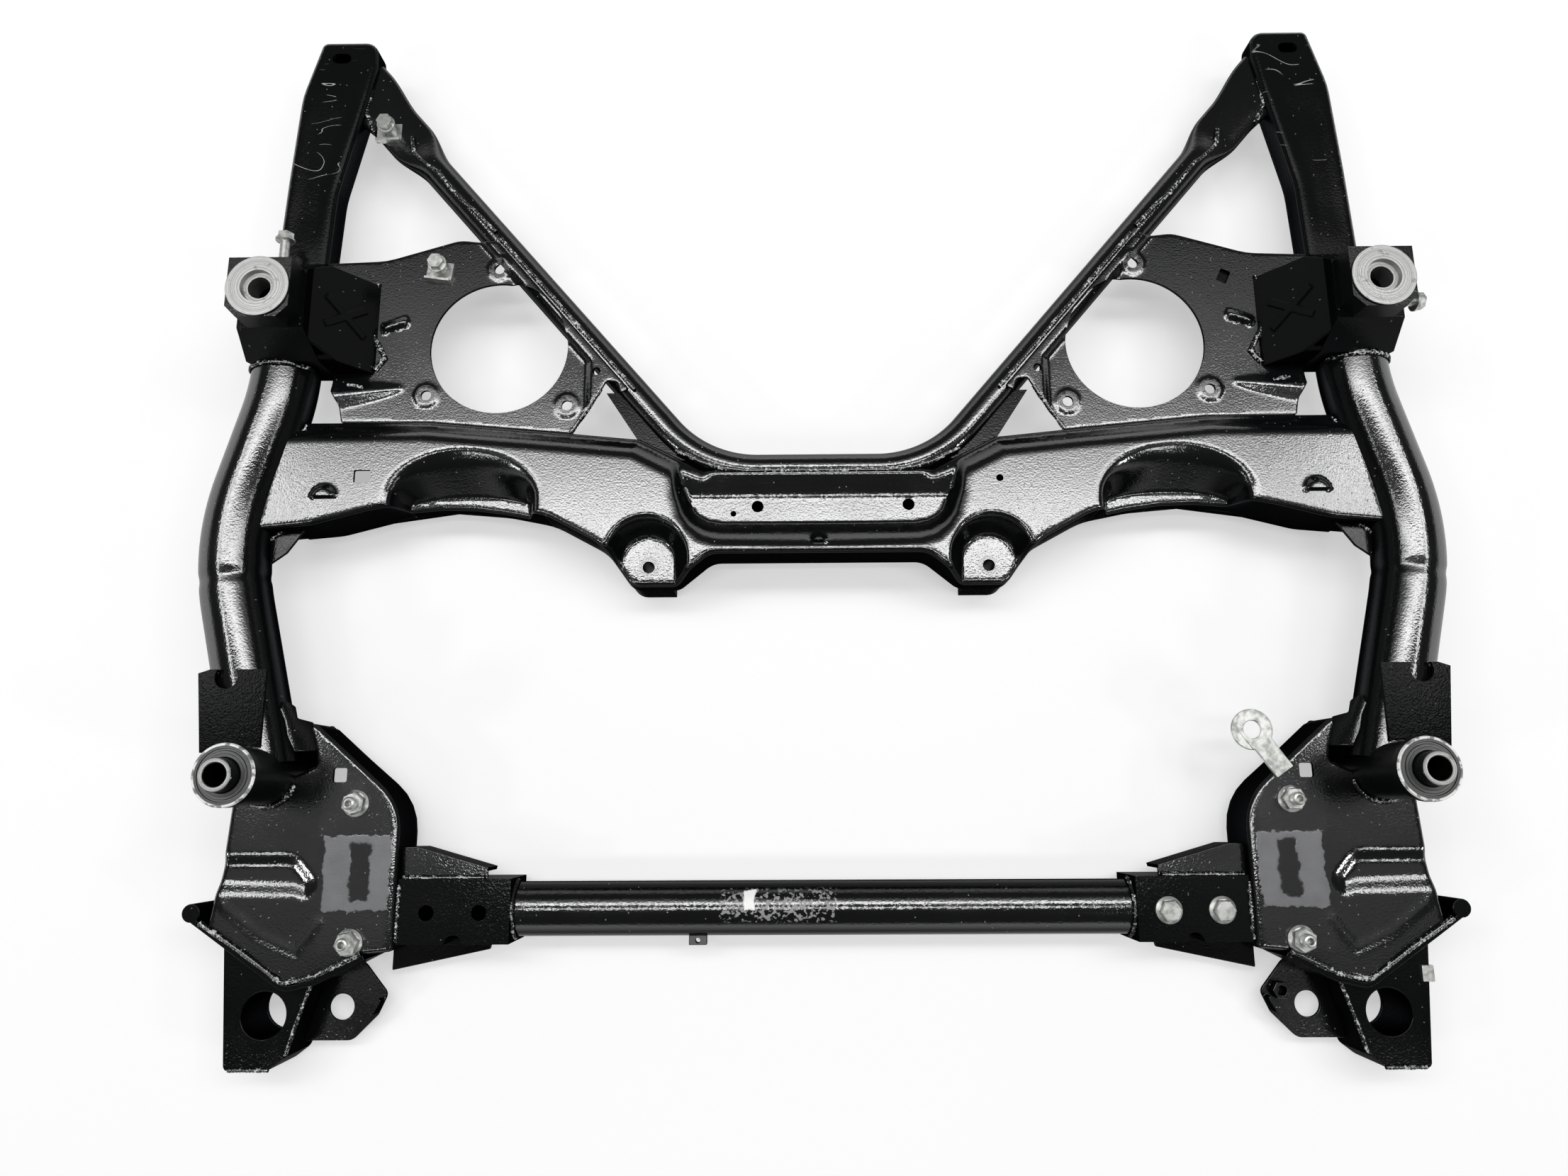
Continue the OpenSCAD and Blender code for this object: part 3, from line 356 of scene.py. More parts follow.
def recalc(obj):
    """Turns every face outwards."""
    bm = bmesh.new()
    bm.from_mesh(obj.data)
    bmesh.ops.remove_doubles(bm, verts=bm.verts, dist=1e-6)
    bmesh.ops.recalc_face_normals(bm, faces=bm.faces)
    bm.to_mesh(obj.data)
    bm.free()
    return obj


def slab(name, centre, size, low, high):
    """Upright block, square in plan."""
    c, h = np.array(centre), np.array(size) / 2
    square = ((-1, -1), (1, -1), (1, 1), (-1, 1))
    points = [(c[0] + a * h[0], c[1] + b * h[1], z) for z in (low, high) for a, b in square]
    return add_object(name, points, [(3, 2, 1, 0), (4, 5, 6, 7)] + band(0, 4, 4), smooth=False)


def dressed(node, bevel, hole=None):
    """Copy of a CAD node with softened edges, and a square hole (x, y, size) where one is given."""
    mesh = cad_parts[node].data.copy()
    obj = bpy.data.objects.new(node + "_skin", mesh)
    bpy.context.scene.collection.objects.link(obj)
    bm = bmesh.new()
    bm.from_mesh(mesh)
    bmesh.ops.remove_doubles(bm, verts=bm.verts, dist=1e-6)
    bmesh.ops.dissolve_limit(bm, angle_limit=math.radians(0.6), verts=bm.verts, edges=bm.edges)
    bm.to_mesh(mesh)
    bm.free()
    mesh.materials.clear()
    if hole:
        cutter = slab("cutter", hole[:2], (hole[2], hole[2]), -5, 30)
        cut = obj.modifiers.new("hole", "BOOLEAN")
        cut.operation, cut.solver, cut.object = "DIFFERENCE", "EXACT", cutter
    soft = obj.modifiers.new("soft_edges", "BEVEL")
    soft.width = bevel * MM
    soft.segments = 3
    soft.limit_method = "ANGLE"
    soft.angle_limit = math.radians(32)
    flat = obj.modifiers.new("flat_faces", "WEIGHTED_NORMAL")
    flat.keep_sharp = True
    mesh.shade_smooth()
    baked(obj)
    if hole:
        bpy.data.objects.remove(cutter)
    return obj


def finish_piece(obj, material, *replaced, slot="black_coat"):
    """Gives a piece its finish and its place in the frame."""
    obj.data.materials.clear()
    obj.data.materials.append(material)
    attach(obj, "root")
    if replaced:
        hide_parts(*replaced)


# Materials

def srgb(code):
    """Linear colour from an sRGB hex value."""
    parts = [int(code[i:i + 2], 16) / 255 for i in (1, 3, 5)]
    return tuple(c / 12.92 if c <= 0.04045 else ((c + 0.055) / 1.055) ** 2.4 for c in parts) + (1.0,)


def add(tree, kind, settings=None, **inputs):
    """Adds one node. Settings are attributes; inputs are values or sockets, by name or as in_0, in_1."""
    node = tree.nodes.new(kind)
    for key, value in (settings or {}).items():
        setattr(node, key, value)
    for key, value in inputs.items():
        socket = node.inputs[int(key[3:])] if key.startswith("in_") else node.inputs[key.replace("_", " ")]
        if isinstance(value, bpy.types.NodeSocket):
            tree.links.new(value, socket)
        else:
            socket.default_value = value
    return node


def new_material(name):
    """Empty material with its shader and the place in millimetres as a vector."""
    material = bpy.data.materials.new(name)
    material.use_nodes = True
    tree = material.node_tree
    shader = tree.nodes["Principled BSDF"]
    place = add(tree, "ShaderNodeTexCoord").outputs["Object"]
    place = add(tree, "ShaderNodeVectorMath", {"operation": "SCALE"}, in_0=place, Scale=1 / MM).outputs[0]
    return material, tree, shader, place


def maths(tree, operation, *values):
    return add(tree, "ShaderNodeMath", {"operation": operation},
               **{"in_%d" % i: v for i, v in enumerate(values)}).outputs[0]


def product(tree, *values):
    out = values[0]
    for v in values[1:]:
        out = maths(tree, "MULTIPLY", out, v)
    return out


def noise(tree, place, size_mm, detail):
    return add(tree, "ShaderNodeTexNoise", Vector=place, Scale=1 / size_mm, Detail=detail).outputs["Fac"]


def ramp(tree, value, low, high, to_low=0.0, to_high=1.0):
    """Value mapped from low..high, with an eased and clamped step."""
    return add(tree, "ShaderNodeMapRange", {"interpolation_type": "SMOOTHSTEP"}, Value=value, From_Min=low,
               From_Max=high, To_Min=to_low, To_Max=to_high).outputs["Result"]


def mix(tree, share, a, b):
    """Colour a, turning to b where share is 1."""
    return add(tree, "ShaderNodeMix", {"data_type": "RGBA"}, in_0=share, in_6=a, in_7=b).outputs[2]


def blend(tree, share, a, b):
    """Number a, turning to b where share is 1."""
    return add(tree, "ShaderNodeMix", {"data_type": "FLOAT"}, in_0=share, in_2=a, in_3=b).outputs[0]


def split(tree, place):
    """Distance from the middle plane, place along the frame, height, and place across it."""
    parts = add(tree, "ShaderNodeSeparateXYZ", Vector=place).outputs
    return maths(tree, "ABSOLUTE", parts[0]), parts[1], parts[2], parts[0]


def near(tree, place, centres):
    """Distance from the nearest of some upright axes, in the plane and on both sides."""
    x, y = split(tree, place)[:2]
    best = None
    for cx, cy in centres:
        dx, dy = maths(tree, "SUBTRACT", x, float(cx)), maths(tree, "SUBTRACT", y, float(cy))
        d = maths(tree, "SQRT", maths(tree, "ADD", product(tree, dx, dx), product(tree, dy, dy)))
        best = d if best is None else maths(tree, "MINIMUM", best, d)
    return best


def patch(tree, place, low, high, soft=1.0, wobble=3.0, signed=False):
    """1 inside a box in the plane, with a torn edge."""
    parts = split(tree, place)
    shift = product(tree, maths(tree, "SUBTRACT", noise(tree, place, 9.0, 4.0), 0.5), wobble * 2)
    shares = []
    for value, a, b in ((parts[3 if signed else 0], low[0], high[0]), (parts[1], low[1], high[1])):
        moved = maths(tree, "ADD", value, shift)
        shares += [ramp(tree, moved, a - soft, a + soft), ramp(tree, moved, b + soft, b - soft)]
    return product(tree, *shares)


# Dip coat: baked black epoxy over steel, glossy, with a fine orange peel, dust specks and pale scuffs
COAT = "#08090a"
DUST = "#5a5c5d"
BARE = "#8b8c8c"
COAT_IOR = 2.0
# Painted shade: the dark grey metal colour that upright faces get, so that they reflect little
UPRIGHT_PAINTED_SHADE = "#323335"
UPRIGHT_ROUGH = 0.32
# Heights between which the marks on the front tube fade in, so that only its upper side has them
MARKS_LOW, MARKS_HIGH = 40.0, 44.0


def coat_layers(tree, place):
    """Colour, roughness and height of the dip coat."""
    peel = noise(tree, place, 3.2, 1.0)
    grain = noise(tree, place, 1.5, 1.0)
    wave = noise(tree, place, 45.0, 2.0)
    cells = add(tree, "ShaderNodeTexVoronoi", {"voronoi_dimensions": "2D"}, Vector=place, Scale=1 / 6.0)
    chance = add(tree, "ShaderNodeSeparateColor", Color=cells.outputs["Color"]).outputs[0]
    speck = product(tree, ramp(tree, cells.outputs["Distance"], 0.1, 0.06), ramp(tree, chance, 0.9, 0.93))
    colour = mix(tree, speck, srgb(COAT), srgb(DUST))
    rough = maths(tree, "ADD", ramp(tree, wave, 0.3, 0.7, 0.10, 0.15), product(tree, speck, 0.4))
    height = maths(tree, "ADD", product(tree, peel, 0.05), product(tree, grain, 0.1))
    height = maths(tree, "ADD", height, product(tree, speck, 0.10))
    return colour, rough, height


def wire_up(tree, shader, colour, rough, height, metallic=None, gloss=0.5):
    """Joins the layers to the shader. Upright faces get painted shade: a dark grey metal takes the coat's
    place, so they are duller and show less at a low angle.
    """
    facing = add(tree, "ShaderNodeNewGeometry").outputs["Normal"]
    level = add(tree, "ShaderNodeSeparateXYZ", Vector=facing).outputs[2]
    upright = ramp(tree, level, 0.1, 0.45, 1.0, 0.0)
    if metallic is None:
        # Painted shade on upright faces: dark grey metal, with a black tint at the edge of its reflection
        colour = mix(tree, upright, colour, srgb(UPRIGHT_PAINTED_SHADE))
        tree.links.new(upright, shader.inputs["Metallic"])
        tint = mix(tree, upright, srgb("#ffffff"), srgb("#000000"))
        tree.links.new(tint, shader.inputs["Specular Tint"])
    else:
        tree.links.new(metallic, shader.inputs["Metallic"])
    tree.links.new(ramp(tree, level, 0.6, 0.95, 0.02, gloss), shader.inputs["Specular IOR Level"])
    tree.links.new(colour, shader.inputs["Base Color"])
    rough = maths(tree, "MAXIMUM", rough, product(tree, upright, UPRIGHT_ROUGH))
    tree.links.new(rough, shader.inputs["Roughness"])
    shader.inputs["IOR"].default_value = COAT_IOR
    bump = add(tree, "ShaderNodeBump", Strength=1.0, Distance=MM, Height=height)
    tree.links.new(bump.outputs[0], shader.inputs["Normal"])


def dip_coat(name, gloss):
    material, tree, shader, place = new_material(name)
    wire_up(tree, shader, *coat_layers(tree, place), gloss=gloss)
    return material


def weld_coat_with_painted_glints():
    """Dip coat over weld beads, with pale flecks on the ripples that are painted highlights, standing in
    for glints.
    """
    material, tree, shader, place = new_material("black_dip_coat_on_weld_beads")
    colour, rough, height = coat_layers(tree, place)
    # Painted highlight: pale flecks in place of the glints of light on the bead ripples
    fleck = product(tree, ramp(tree, noise(tree, place, 2.6, 2.0), 0.54, 0.6),
                    ramp(tree, noise(tree, place, 14.0, 2.0), 0.38, 0.55))
    colour = mix(tree, fleck, colour, srgb("#b9bbba"))
    wire_up(tree, shader, colour, blend(tree, fleck, rough, 0.35), height)
    return material


def coat_with_bare_rings(name, centres, inner, outer):
    """Dip coat with the rings under bolt heads rubbed down to grey metal."""
    material, tree, shader, place = new_material(name)
    colour, rough, height = coat_layers(tree, place)
    d = near(tree, place, centres)
    worn = product(tree, ramp(tree, d, outer, outer - 1), ramp(tree, d, inner - 0.6, inner),
                   ramp(tree, noise(tree, place, 3.0, 3.0), 0.34, 0.5))
    turned = ramp(tree, maths(tree, "SINE", product(tree, d, 4.5)), -1, 1, 0.25, 0.95)
    worn = product(tree, worn, turned, 0.5)
    colour = mix(tree, worn, colour, srgb(BARE))
    wire_up(tree, shader, colour, blend(tree, worn, rough, 0.4), height)
    return material


def coat_with_residue():
    """Dip coat with torn grey glue film where stickers were, and rubbed edges round the stud nuts."""
    material, tree, shader, place = new_material("black_dip_coat_with_glue_film")
    colour, rough, height = coat_layers(tree, place)
    film = patch(tree, place, (336, -321), (387, -266), 1.0, 5.0)
    hole = product(tree, patch(tree, place, (351, -314), (367, -271), 1.5, 5.0),
                   ramp(tree, noise(tree, place, 26.0, 3.0), 0.3, 0.38))
    thin = maths(tree, "MAXIMUM", patch(tree, place, (336, -352), (388, -322), 2.5, 6.0),
                 patch(tree, place, (338, -266), (392, -222), 2.5, 6.0))
    film = product(tree, film, maths(tree, "SUBTRACT", 1.0, hole))
    grey = mix(tree, noise(tree, place, 17.0, 2.0), srgb("#333438"), srgb("#5f6064"))
    colour = mix(tree, product(tree, thin, 0.012), colour, srgb("#8c8c8c"))
    colour = mix(tree, film, colour, grey)
    rough = blend(tree, film, blend(tree, product(tree, thin, 0.3), rough, 0.2), 0.5)
    wire_up(tree, shader, colour, rough, maths(tree, "ADD", height, product(tree, film, 0.12)))
    return material


def coat_with_scuffs():
    """Dip coat of the rear arms, with long pale scratches and crazed patches."""
    material, tree, shader, place = new_material("black_dip_coat_scratched")
    colour, rough, height = coat_layers(tree, place)
    bent = add(tree, "ShaderNodeTexNoise", Vector=place, Scale=1 / 60, Detail=1.0).outputs["Color"]
    moved = add(tree, "ShaderNodeVectorMath", {"operation": "MULTIPLY_ADD"}, in_0=bent, in_1=(36, 36, 36),
                in_2=place).outputs[0]
    long = add(tree, "ShaderNodeMapping", Vector=moved, Rotation=(0, 0, 0.25),
               Scale=(0.14, 1.0, 1.0)).outputs[0]
    line = maths(tree, "ABSOLUTE", maths(tree, "SUBTRACT", noise(tree, long, 16.0, 0.0), 0.5))
    scratch = product(tree, ramp(tree, line, 0.006, 0.002),
                      ramp(tree, noise(tree, place, 30.0, 1.0), 0.54, 0.6),
                      patch(tree, place, (380, 300), (470, 428), 6.0, 4.0))
    colour = mix(tree, scratch, colour, srgb("#9b9c9b"))
    wire_up(tree, shader, colour, blend(tree, scratch, rough, 0.5), height, gloss=0.25)
    return material


def coat_with_marks():
    """Dip coat of the front cross tube, with a fleck of white paint and torn remains of a glue film."""
    material, tree, shader, place = new_material("black_dip_coat_with_paint_fleck")
    colour, rough, height = coat_layers(tree, place)
    upper = ramp(tree, split(tree, place)[2], MARKS_LOW, MARKS_HIGH)
    film = product(tree, patch(tree, place, (-80, -332), (11, -308), 1.5, 3.0, True),
                   ramp(tree, noise(tree, place, 3.2, 3.0), 0.53, 0.57), upper)
    fleck = product(tree, patch(tree, place, (-61, -324), (-53, -309), 0.6, 3.0, True), upper)
    colour = mix(tree, product(tree, film, 0.55), colour, srgb("#a9aaa9"))
    colour = mix(tree, fleck, colour, srgb("#f2f2f0"))
    rough = blend(tree, maths(tree, "MAXIMUM", film, fleck), rough, 0.55)
    wire_up(tree, shader, colour, rough, maths(tree, "ADD", height, product(tree, fleck, 0.2)))
    return material


def seat_steel(name, centres, bare_z, bore_r, dark, light, painted_highlight_rim_r=0.0):
    """Dip-coated casting with its top seat turned bare: fine rings, grey sheen, coat left in low spots.
    Where a rim radius is given, a painted highlight runs round the flange's outer edge.
    """
    material, tree, shader, place = new_material(name)
    colour, rough, height = coat_layers(tree, place)
    d = near(tree, place, centres)
    z = split(tree, place)[2]
    mottle = noise(tree, place, 6.0, 4.0)
    across = add(tree, "ShaderNodeCombineXYZ", X=product(tree, d, 3.0)).outputs[0]
    rings = noise(tree, across, 1.6, 3.0)
    bare = maths(tree, "MAXIMUM", ramp(tree, z, bare_z - 0.2, bare_z),
                 product(tree, ramp(tree, d, bore_r + 0.3, bore_r - 0.3), 0.8))
    bare = product(tree, bare, ramp(tree, mottle, 0.28, 0.42, 0.55, 1.0))
    metal = mix(tree, ramp(tree, rings, 0.3, 0.7), srgb(dark), srgb(light))
    # Painted highlight: a near-white ring round the flange's outer edge, in place of the light caught by
    # the rounded edge
    if painted_highlight_rim_r:
        worn = product(tree, ramp(tree, d, painted_highlight_rim_r - 2.6, painted_highlight_rim_r - 1.4),
                       ramp(tree, mottle, 0.4, 0.5, 0.2, 1.0))
        metal = mix(tree, worn, metal, srgb("#e4e4e2"))
    wire_up(tree, shader, mix(tree, bare, colour, metal), blend(tree, bare, rough, 0.48),
            maths(tree, "ADD", height, product(tree, rings, bare, 0.05)), bare)
    return material


def zinc_plate():
    """Zinc plated steel: pale and slightly mottled, duller on upright faces."""
    material, tree, shader, place = new_material("zinc_plate")
    cloud = noise(tree, place, 5.0, 3.0)
    colour = mix(tree, ramp(tree, cloud, 0.35, 0.7), srgb("#cfd0cc"), srgb("#989a97"))
    rough = ramp(tree, cloud, 0.3, 0.7, 0.36, 0.5)
    plated = add(tree, "ShaderNodeValue")
    plated.outputs[0].default_value = 1.0
    height = product(tree, noise(tree, place, 1.0, 2.0), 0.04)
    wire_up(tree, shader, colour, rough, height, plated.outputs[0])
    return material


def black_plastic():
    """Moulded polyamide: deep black with a fine spark-eroded grain."""
    material, tree, shader, place = new_material("moulded_polyamide")
    grain = noise(tree, place, 0.8, 2.0)
    colour = mix(tree, grain, srgb("#0c0c0d"), srgb("#1b1b1c"))
    wire_up(tree, shader, colour, ramp(tree, grain, 0.3, 0.7, 0.45, 0.6), product(tree, grain, 0.05))
    return material


coat = dip_coat("black_dip_coat", 0.5)
dull_coat = dip_coat("black_dip_coat_dulled", 0.09)
matt_coat = dip_coat("black_dip_coat_matt", 0.02)
bead_coat_with_painted_glints = weld_coat_with_painted_glints()
scuffed = coat_with_scuffs()
filmed = coat_with_residue()
marked = coat_with_marks()
plate_coat = coat_with_bare_rings("black_dip_coat_rubbed_at_bolts", BOLT_PLACES, 4.5, 9.8)
rack_coat = coat_with_bare_rings("black_dip_coat_rubbed_at_rack_seats", [RACK], 5.0, 9.0)
block_steel = seat_steel("turned_seat_of_the_blocks", [BLOCK[:2]], BLOCK_TOP - 0.3, 14.0,
                         "#5a5b5b", "#f0f0ee")
# The bushes get the painted highlight round their flange edge
bush_steel = seat_steel("turned_seat_of_the_bushes", [BUSH[:2]], BUSH_TOP - 1.2, 4.0, "#131414", "#828382",
                        BUSH_R)
sleeve_steel = seat_steel("coated_sleeves_with_bare_rims", [BUSH[:2]], SLEEVE_TOP - 0.5, 4.0,
                          "#6a6b6b", "#d8d8d6")
zinc = zinc_plate()
plastic = black_plastic()


# Crossmember, the pressed upper shell

MEMBER_HALF = [[0, -44, 0], [88, -44, 20], [RACK[0] - 24, RACK[1] - 16, 14],
               [RACK[0] + 14, RACK[1] - 16, 14], [RACK[0] + 36, RACK[1] + 15, 40],
               [RACK[0] + 82, RACK[1] + 40, 60], [315, 8, 252], [415, -18, 60], [459, -22, 0]]
MEMBER_HALF += [[x, y, 0] for x, y in MEMBER_REAR]
PAN_RIM = mirrored_outline(np.array([[0, -35], [24, -34.8], [84, -33], [97, -29], [107, -20], [113, -10],
                                     [118, 7.5], [121, 30], [121, 60], [0, 60]], float))
SCOOP_TURN = np.radians(np.linspace(0, 180, 19))


def scoop_outline(wide, deep):
    """Half ellipse, open to the front."""
    bow = np.stack([SCOOP_X + wide * np.cos(SCOOP_TURN), 3 + deep * np.sin(SCOOP_TURN)], 1)
    return np.vstack([bow, [[SCOOP_X - wide, -50], [SCOOP_X + wide, -50]]])


def between(x, y, bed, rim):
    """0 on the bed, rising to 1 at the rim and past it outside."""
    out, gap = outline_distance(x, y, bed).clip(0), -outline_distance(x, y, rim)
    return np.where(gap > 0, out / (out + gap.clip(0.01)), 1 - gap / 20)


PAN_BED = mirrored_outline(np.array([[0, -15.4], [80, -15], [90, -13.5], [98, -9.5], [102, -5.5], [107, 6],
                                     [110, 15], [110, 45], [0, 45]], float))


def member_height(x, y):
    ax = np.abs(x)
    rear = line_distance(ax, y, MEMBER_REAR)
    z = soft_min(MEMBER_TOP + 0 * x, PLATE_Z + (MEMBER_TOP - PLATE_Z) * rear / 16, 6)
    scoop = between(ax, y, scoop_outline(51, 8), scoop_outline(60, 38))
    z = soft_min(z, SCOOP_FLOOR + (MEMBER_TOP - SCOOP_FLOOR) * scoop, 9)
    pan = PAN_FLOOR + (MEMBER_TOP - PAN_FLOOR) * between(x, y, PAN_BED, PAN_RIM)
    band = PAN_FLOOR + 0.34 * (y - 7.6)
    z = soft_min(z, soft_max(pan, band, 0.8), 7)
    for cx, cy, r in ((404, 4, 12), (0, -36, 9)):
        lug = np.hypot(ax - cx, y - cy)
        z = z + 4.5 * ease((r - lug) / 5) * ease((y - cy) / 1.5)
    seat = np.where(y > RACK[1] + 4, np.hypot(ax - RACK[0], y - RACK[1] - 4), np.abs(ax - RACK[0])) - 22
    return soft_min(z, soft_max(RACK_SEAT + 0 * x, RACK_SEAT + (MEMBER_TOP - RACK_SEAT) * seat / 12, 2), 4)


member_holes = [circle((-50, -1), 5), circle((75, 0), 5), circle((-70, -7), 2.5, 16),
                circle((148, 17), 3, 16), quad((-374, 22.5), 14, 11)]
member_holes += [circle((s * RACK[0], RACK[1]), 5) for s in (-1, 1)]
member_outline = mirrored_outline(rounded(MEMBER_HALF, closed=False))
member = press_shell("crossmember_pressing", member_outline, member_height, member_holes, 4.0,
                     lambda x, y: SEAM_Z + 0 * x, 2.4)
finish_piece(member, rack_coat, "crossmember_upper")


# Engine plates: flat sheets that step up onto the brace, with a half cone towards the tower

PLATE = rounded([[207, 63, 0], [325, 74, 0], [402, 74.5, 3], [405, 90, 6], [412, 102, 0], [412, 205, 0],
                 [425, 205, 0], [425, 221, 0], [373, 223, 60], [310, 242, 30], [leg_x(238) + 4, 238, 3],
                 [leg_x(101) + 4, 101, 3], [165, 97, 2], [168, 107, 3], [177, 108, 3], [181, 101, 2]])
CONE_TIP, CONE_END = np.array([350.0, 105.0]), np.array([414.0, 98.0])
LANCE = np.array([361.0, 162.0])


def plate_height(x, y):
    from_leg = line_distance(x, y, [[leg_x(20), 20], BRACE_END])
    step = np.maximum(ease((198 - x) / 9), ease((17 - from_leg) / 8))
    z = PLATE_Z + 4.6 * step
    along = (CONE_END - CONE_TIP) / np.linalg.norm(CONE_END - CONE_TIP)
    s = np.clip((x - CONE_TIP[0]) * along[0] + (y - CONE_TIP[1]) * along[1], 0, None)
    d = (y - CONE_TIP[1]) * along[0] - (x - CONE_TIP[0]) * along[1]
    r = 15 * np.sqrt(s / 64) + 0.01
    z = z + np.where(s > 0, 0.24 * r * ease(1 - np.abs(d) / r), 0)
    c, q = math.cos(math.radians(-20)), math.sin(math.radians(-20))
    u, v = (x - LANCE[0]) * c + (y - LANCE[1]) * q, -(x - LANCE[0]) * q + (y - LANCE[1]) * c
    z = z + 4 * ease((12 - np.abs(u)) / 3) * ease((5 - v) / 4) * ease((v + 3.5) / 1.2)
    for p in BOLT_PLACES:
        z = z + 0.9 * ease((11 - np.hypot(x - p[0], y - p[1])) / 1.5)
    return z


def engine_plate(side, s):
    holes = [circle(ENGINE, ENGINE_R, 120), circle(ENGINE + [-85, -24], 3.5, 18)]
    holes += [circle(p, 4.5, 24) for p in BOLT_PLACES]
    if side == "right":
        holes.append(quad(ENGINE + [80, 60], 9, 12, -26, 1.0))
        cage = slab("cage_nut_under_plate", ENGINE + [82, 61], (22, 22), PLATE_Z - 9,
                    PLATE_Z - SHEET - 0.2)
        finish_piece(cage, dull_coat)
    obj = press_shell("engine_plate_%s_pressing" % side, PLATE, plate_height, holes, 1.4, None, 2.4, s)
    finish_piece(obj, plate_coat, "engine_plate_" + side)


# Rear arms: upturned channels with rounded shoulders

ARM = rounded([[470, 205, 0], [466, 300, 200], [461, 385, 80], [446, 440, 7], [396, 440, 11],
               [395, 416, 12], [400, 388, 20], [421, 290, 100], [425, 205, 0]])


def arm_height(x, y):
    dent = ease((388 - y) / 40) * ease((y - 230) / 40) * ease(-outline_distance(x, y, ARM) / 12 - 0.4)
    return ARM_TOP - 0.8 * dent


def rear_arm(side, s):
    slot = rounded([[418.5, 417, 5], [435.5, 417, 5], [435.5, 427, 5], [418.5, 427, 5]], step=15)[::-1]
    obj = press_shell("rear_arm_%s_pressing" % side, ARM, arm_height, [slot], 5.0,
                      lambda x, y: ARM_FOOT + 0 * x, 3.0, s)
    finish_piece(obj, scuffed, "rear_arm_" + side)


# Front corners: plates with a rounded inner edge, a pressed channel and a tongue along the side tube

TUBE_WAY = unit([485 - BUSH[0], -33 - BUSH[1]])
TUBE_SIDE = np.array([TUBE_WAY[1], -TUBE_WAY[0]])
TONGUE_ROOT = BUSH[:2] + [-36.3, 20]
TONGUE = np.array([[0, -3], [23.6, -3], [28.5, 8.5], [37.8, 8.5], [44.7, 15.6], [37.6, 21.2], [27.6, 19],
                   [16.6, 19], [2.3, 16]])
WALL = [[BUSH[0] - 31, BUSH[1] + 43, 0], [CORNER_X, BUSH[1] - 20, 50], [CORNER_X, FRONT_Y - 29, 4],
        [CORNER_X + 22, FRONT_Y - 31, 6]]
CORNER = rounded(WALL + [[CORNER_X + 58, FRONT_Y - 49, 10], [CORNER_X + 80, FRONT_Y - 54, 10],
                         [474, -334, 0], [466, BUSH[1] - 62, 30], [BUSH[0] + 26, BUSH[1] - 12, 0],
                         [BUSH[0], BUSH[1], 0], [BUSH[0] - 16, BUSH[1] - 1, 0],
                         [BUSH[0] - 38, BUSH[1] + 9, 4], [*TONGUE_ROOT, 0]])
CHANNEL = rounded([[490, -306, 0], [490, -281, 0], [CORNER_X + 80, -281, 16], [CORNER_X + 62, -302, 8],
                   [CORNER_X + 70, -311, 5], [CORNER_X + 80, -308, 4]])


def corner_height(x, y):
    depth = outline_distance(x, y, CHANNEL)
    z = PLATE_Z - 3.4 * ease((5 - depth) / 14)
    fold = line_distance(x, y, [[462, -318], [432, -340], [404, -352], [388, -330]])
    return z + 0.5 * ease((6 - fold) / 6)


def corner_tongue(side, s):
    """Flat sheet bent up by 45 degrees along the side tube's flank."""
    along, up = np.array([*TUBE_WAY, 0]), np.array([*TUBE_SIDE, 1]) * math.sqrt(0.5)
    top = np.array([*TONGUE_ROOT, PLATE_Z]) + TONGUE[:, :1] * along + TONGUE[:, 1:] * up
    low = top - SHEET * np.array([*-TUBE_SIDE, 1]) * math.sqrt(0.5)
    n = len(TONGUE)
    faces = [tuple(range(n)), tuple(range(2 * n - 1, n - 1, -1))]
    faces += [(i, n + i, n + (i + 1) % n, (i + 1) % n) for i in range(n)]
    obj = recalc(add_object("corner_tongue_" + side, np.vstack([top, low]) * [s, 1, 1], faces))
    soft = obj.modifiers.new("soft_edges", "BEVEL")
    soft.width, soft.segments = 1.2 * MM, 3
    finish_piece(sharpen(baked(obj), 40), coat)


def front_corner(side, s):
    holes = [quad((CORNER_X + 49.5, BUSH[1] + 1.5), 11, 11, 0, 1.5)] + [circle(p, 5.0, 20) for p in STUDS]

    def foot(x, y):
        wall = line_distance(x, y, [w[:2] for w in WALL]) < 22
        return np.where(wall & (y > FRONT_Y - 34), BUSH_FOOT + 0.5, PLATE_Z - SHEET)
    obj = press_shell("corner_%s_pressing" % side, CORNER, corner_height, holes, 3.2, foot, 2.4, s)
    finish_piece(obj, filmed, "corner_upper_" + side)


# Tubes

def side_tube(side, s):
    line = bent_line(SIDE_PATH, 200)
    kink = np.exp(-((line[:, 1] + 62) / 4) ** 2)
    obj = sweep("side_tube_%s_skin" % side, line * [s, 1],
                lambda i: (SIDE_R - 0.9 * kink[i], SIDE_R - 0.9 * kink[i], SIDE_Z, 1.0), 96)
    finish_piece(obj, coat, "side_tube_" + side)


def brace():
    leg = unit(BRACE_END - BRACE_CORNER)
    tip = BRACE_END + 24 * leg
    corners = [tip * [-1, 1], BRACE_CORNER * [-1, 1], BRACE_CORNER, tip]
    line = bent_line(corners, 100, 3.0)
    gone = np.cumsum(np.r_[0, np.linalg.norm(np.diff(line, axis=0), axis=1)])
    end = np.minimum(gone, gone[-1] - gone)
    flat = 1 - ease((end - 78) / 42)

    def section(i):
        wide = BRACE_R + flat[i] * 8 + 6 * ease((60 - end[i]) / 50)
        return wide, BRACE_R * (1 - flat[i]) + 5.5 * flat[i], BRACE_Z, 1.0 - 0.35 * flat[i]
    finish_piece(sweep("brace_tube_skin", line, section, 72), coat, "brace_tube")


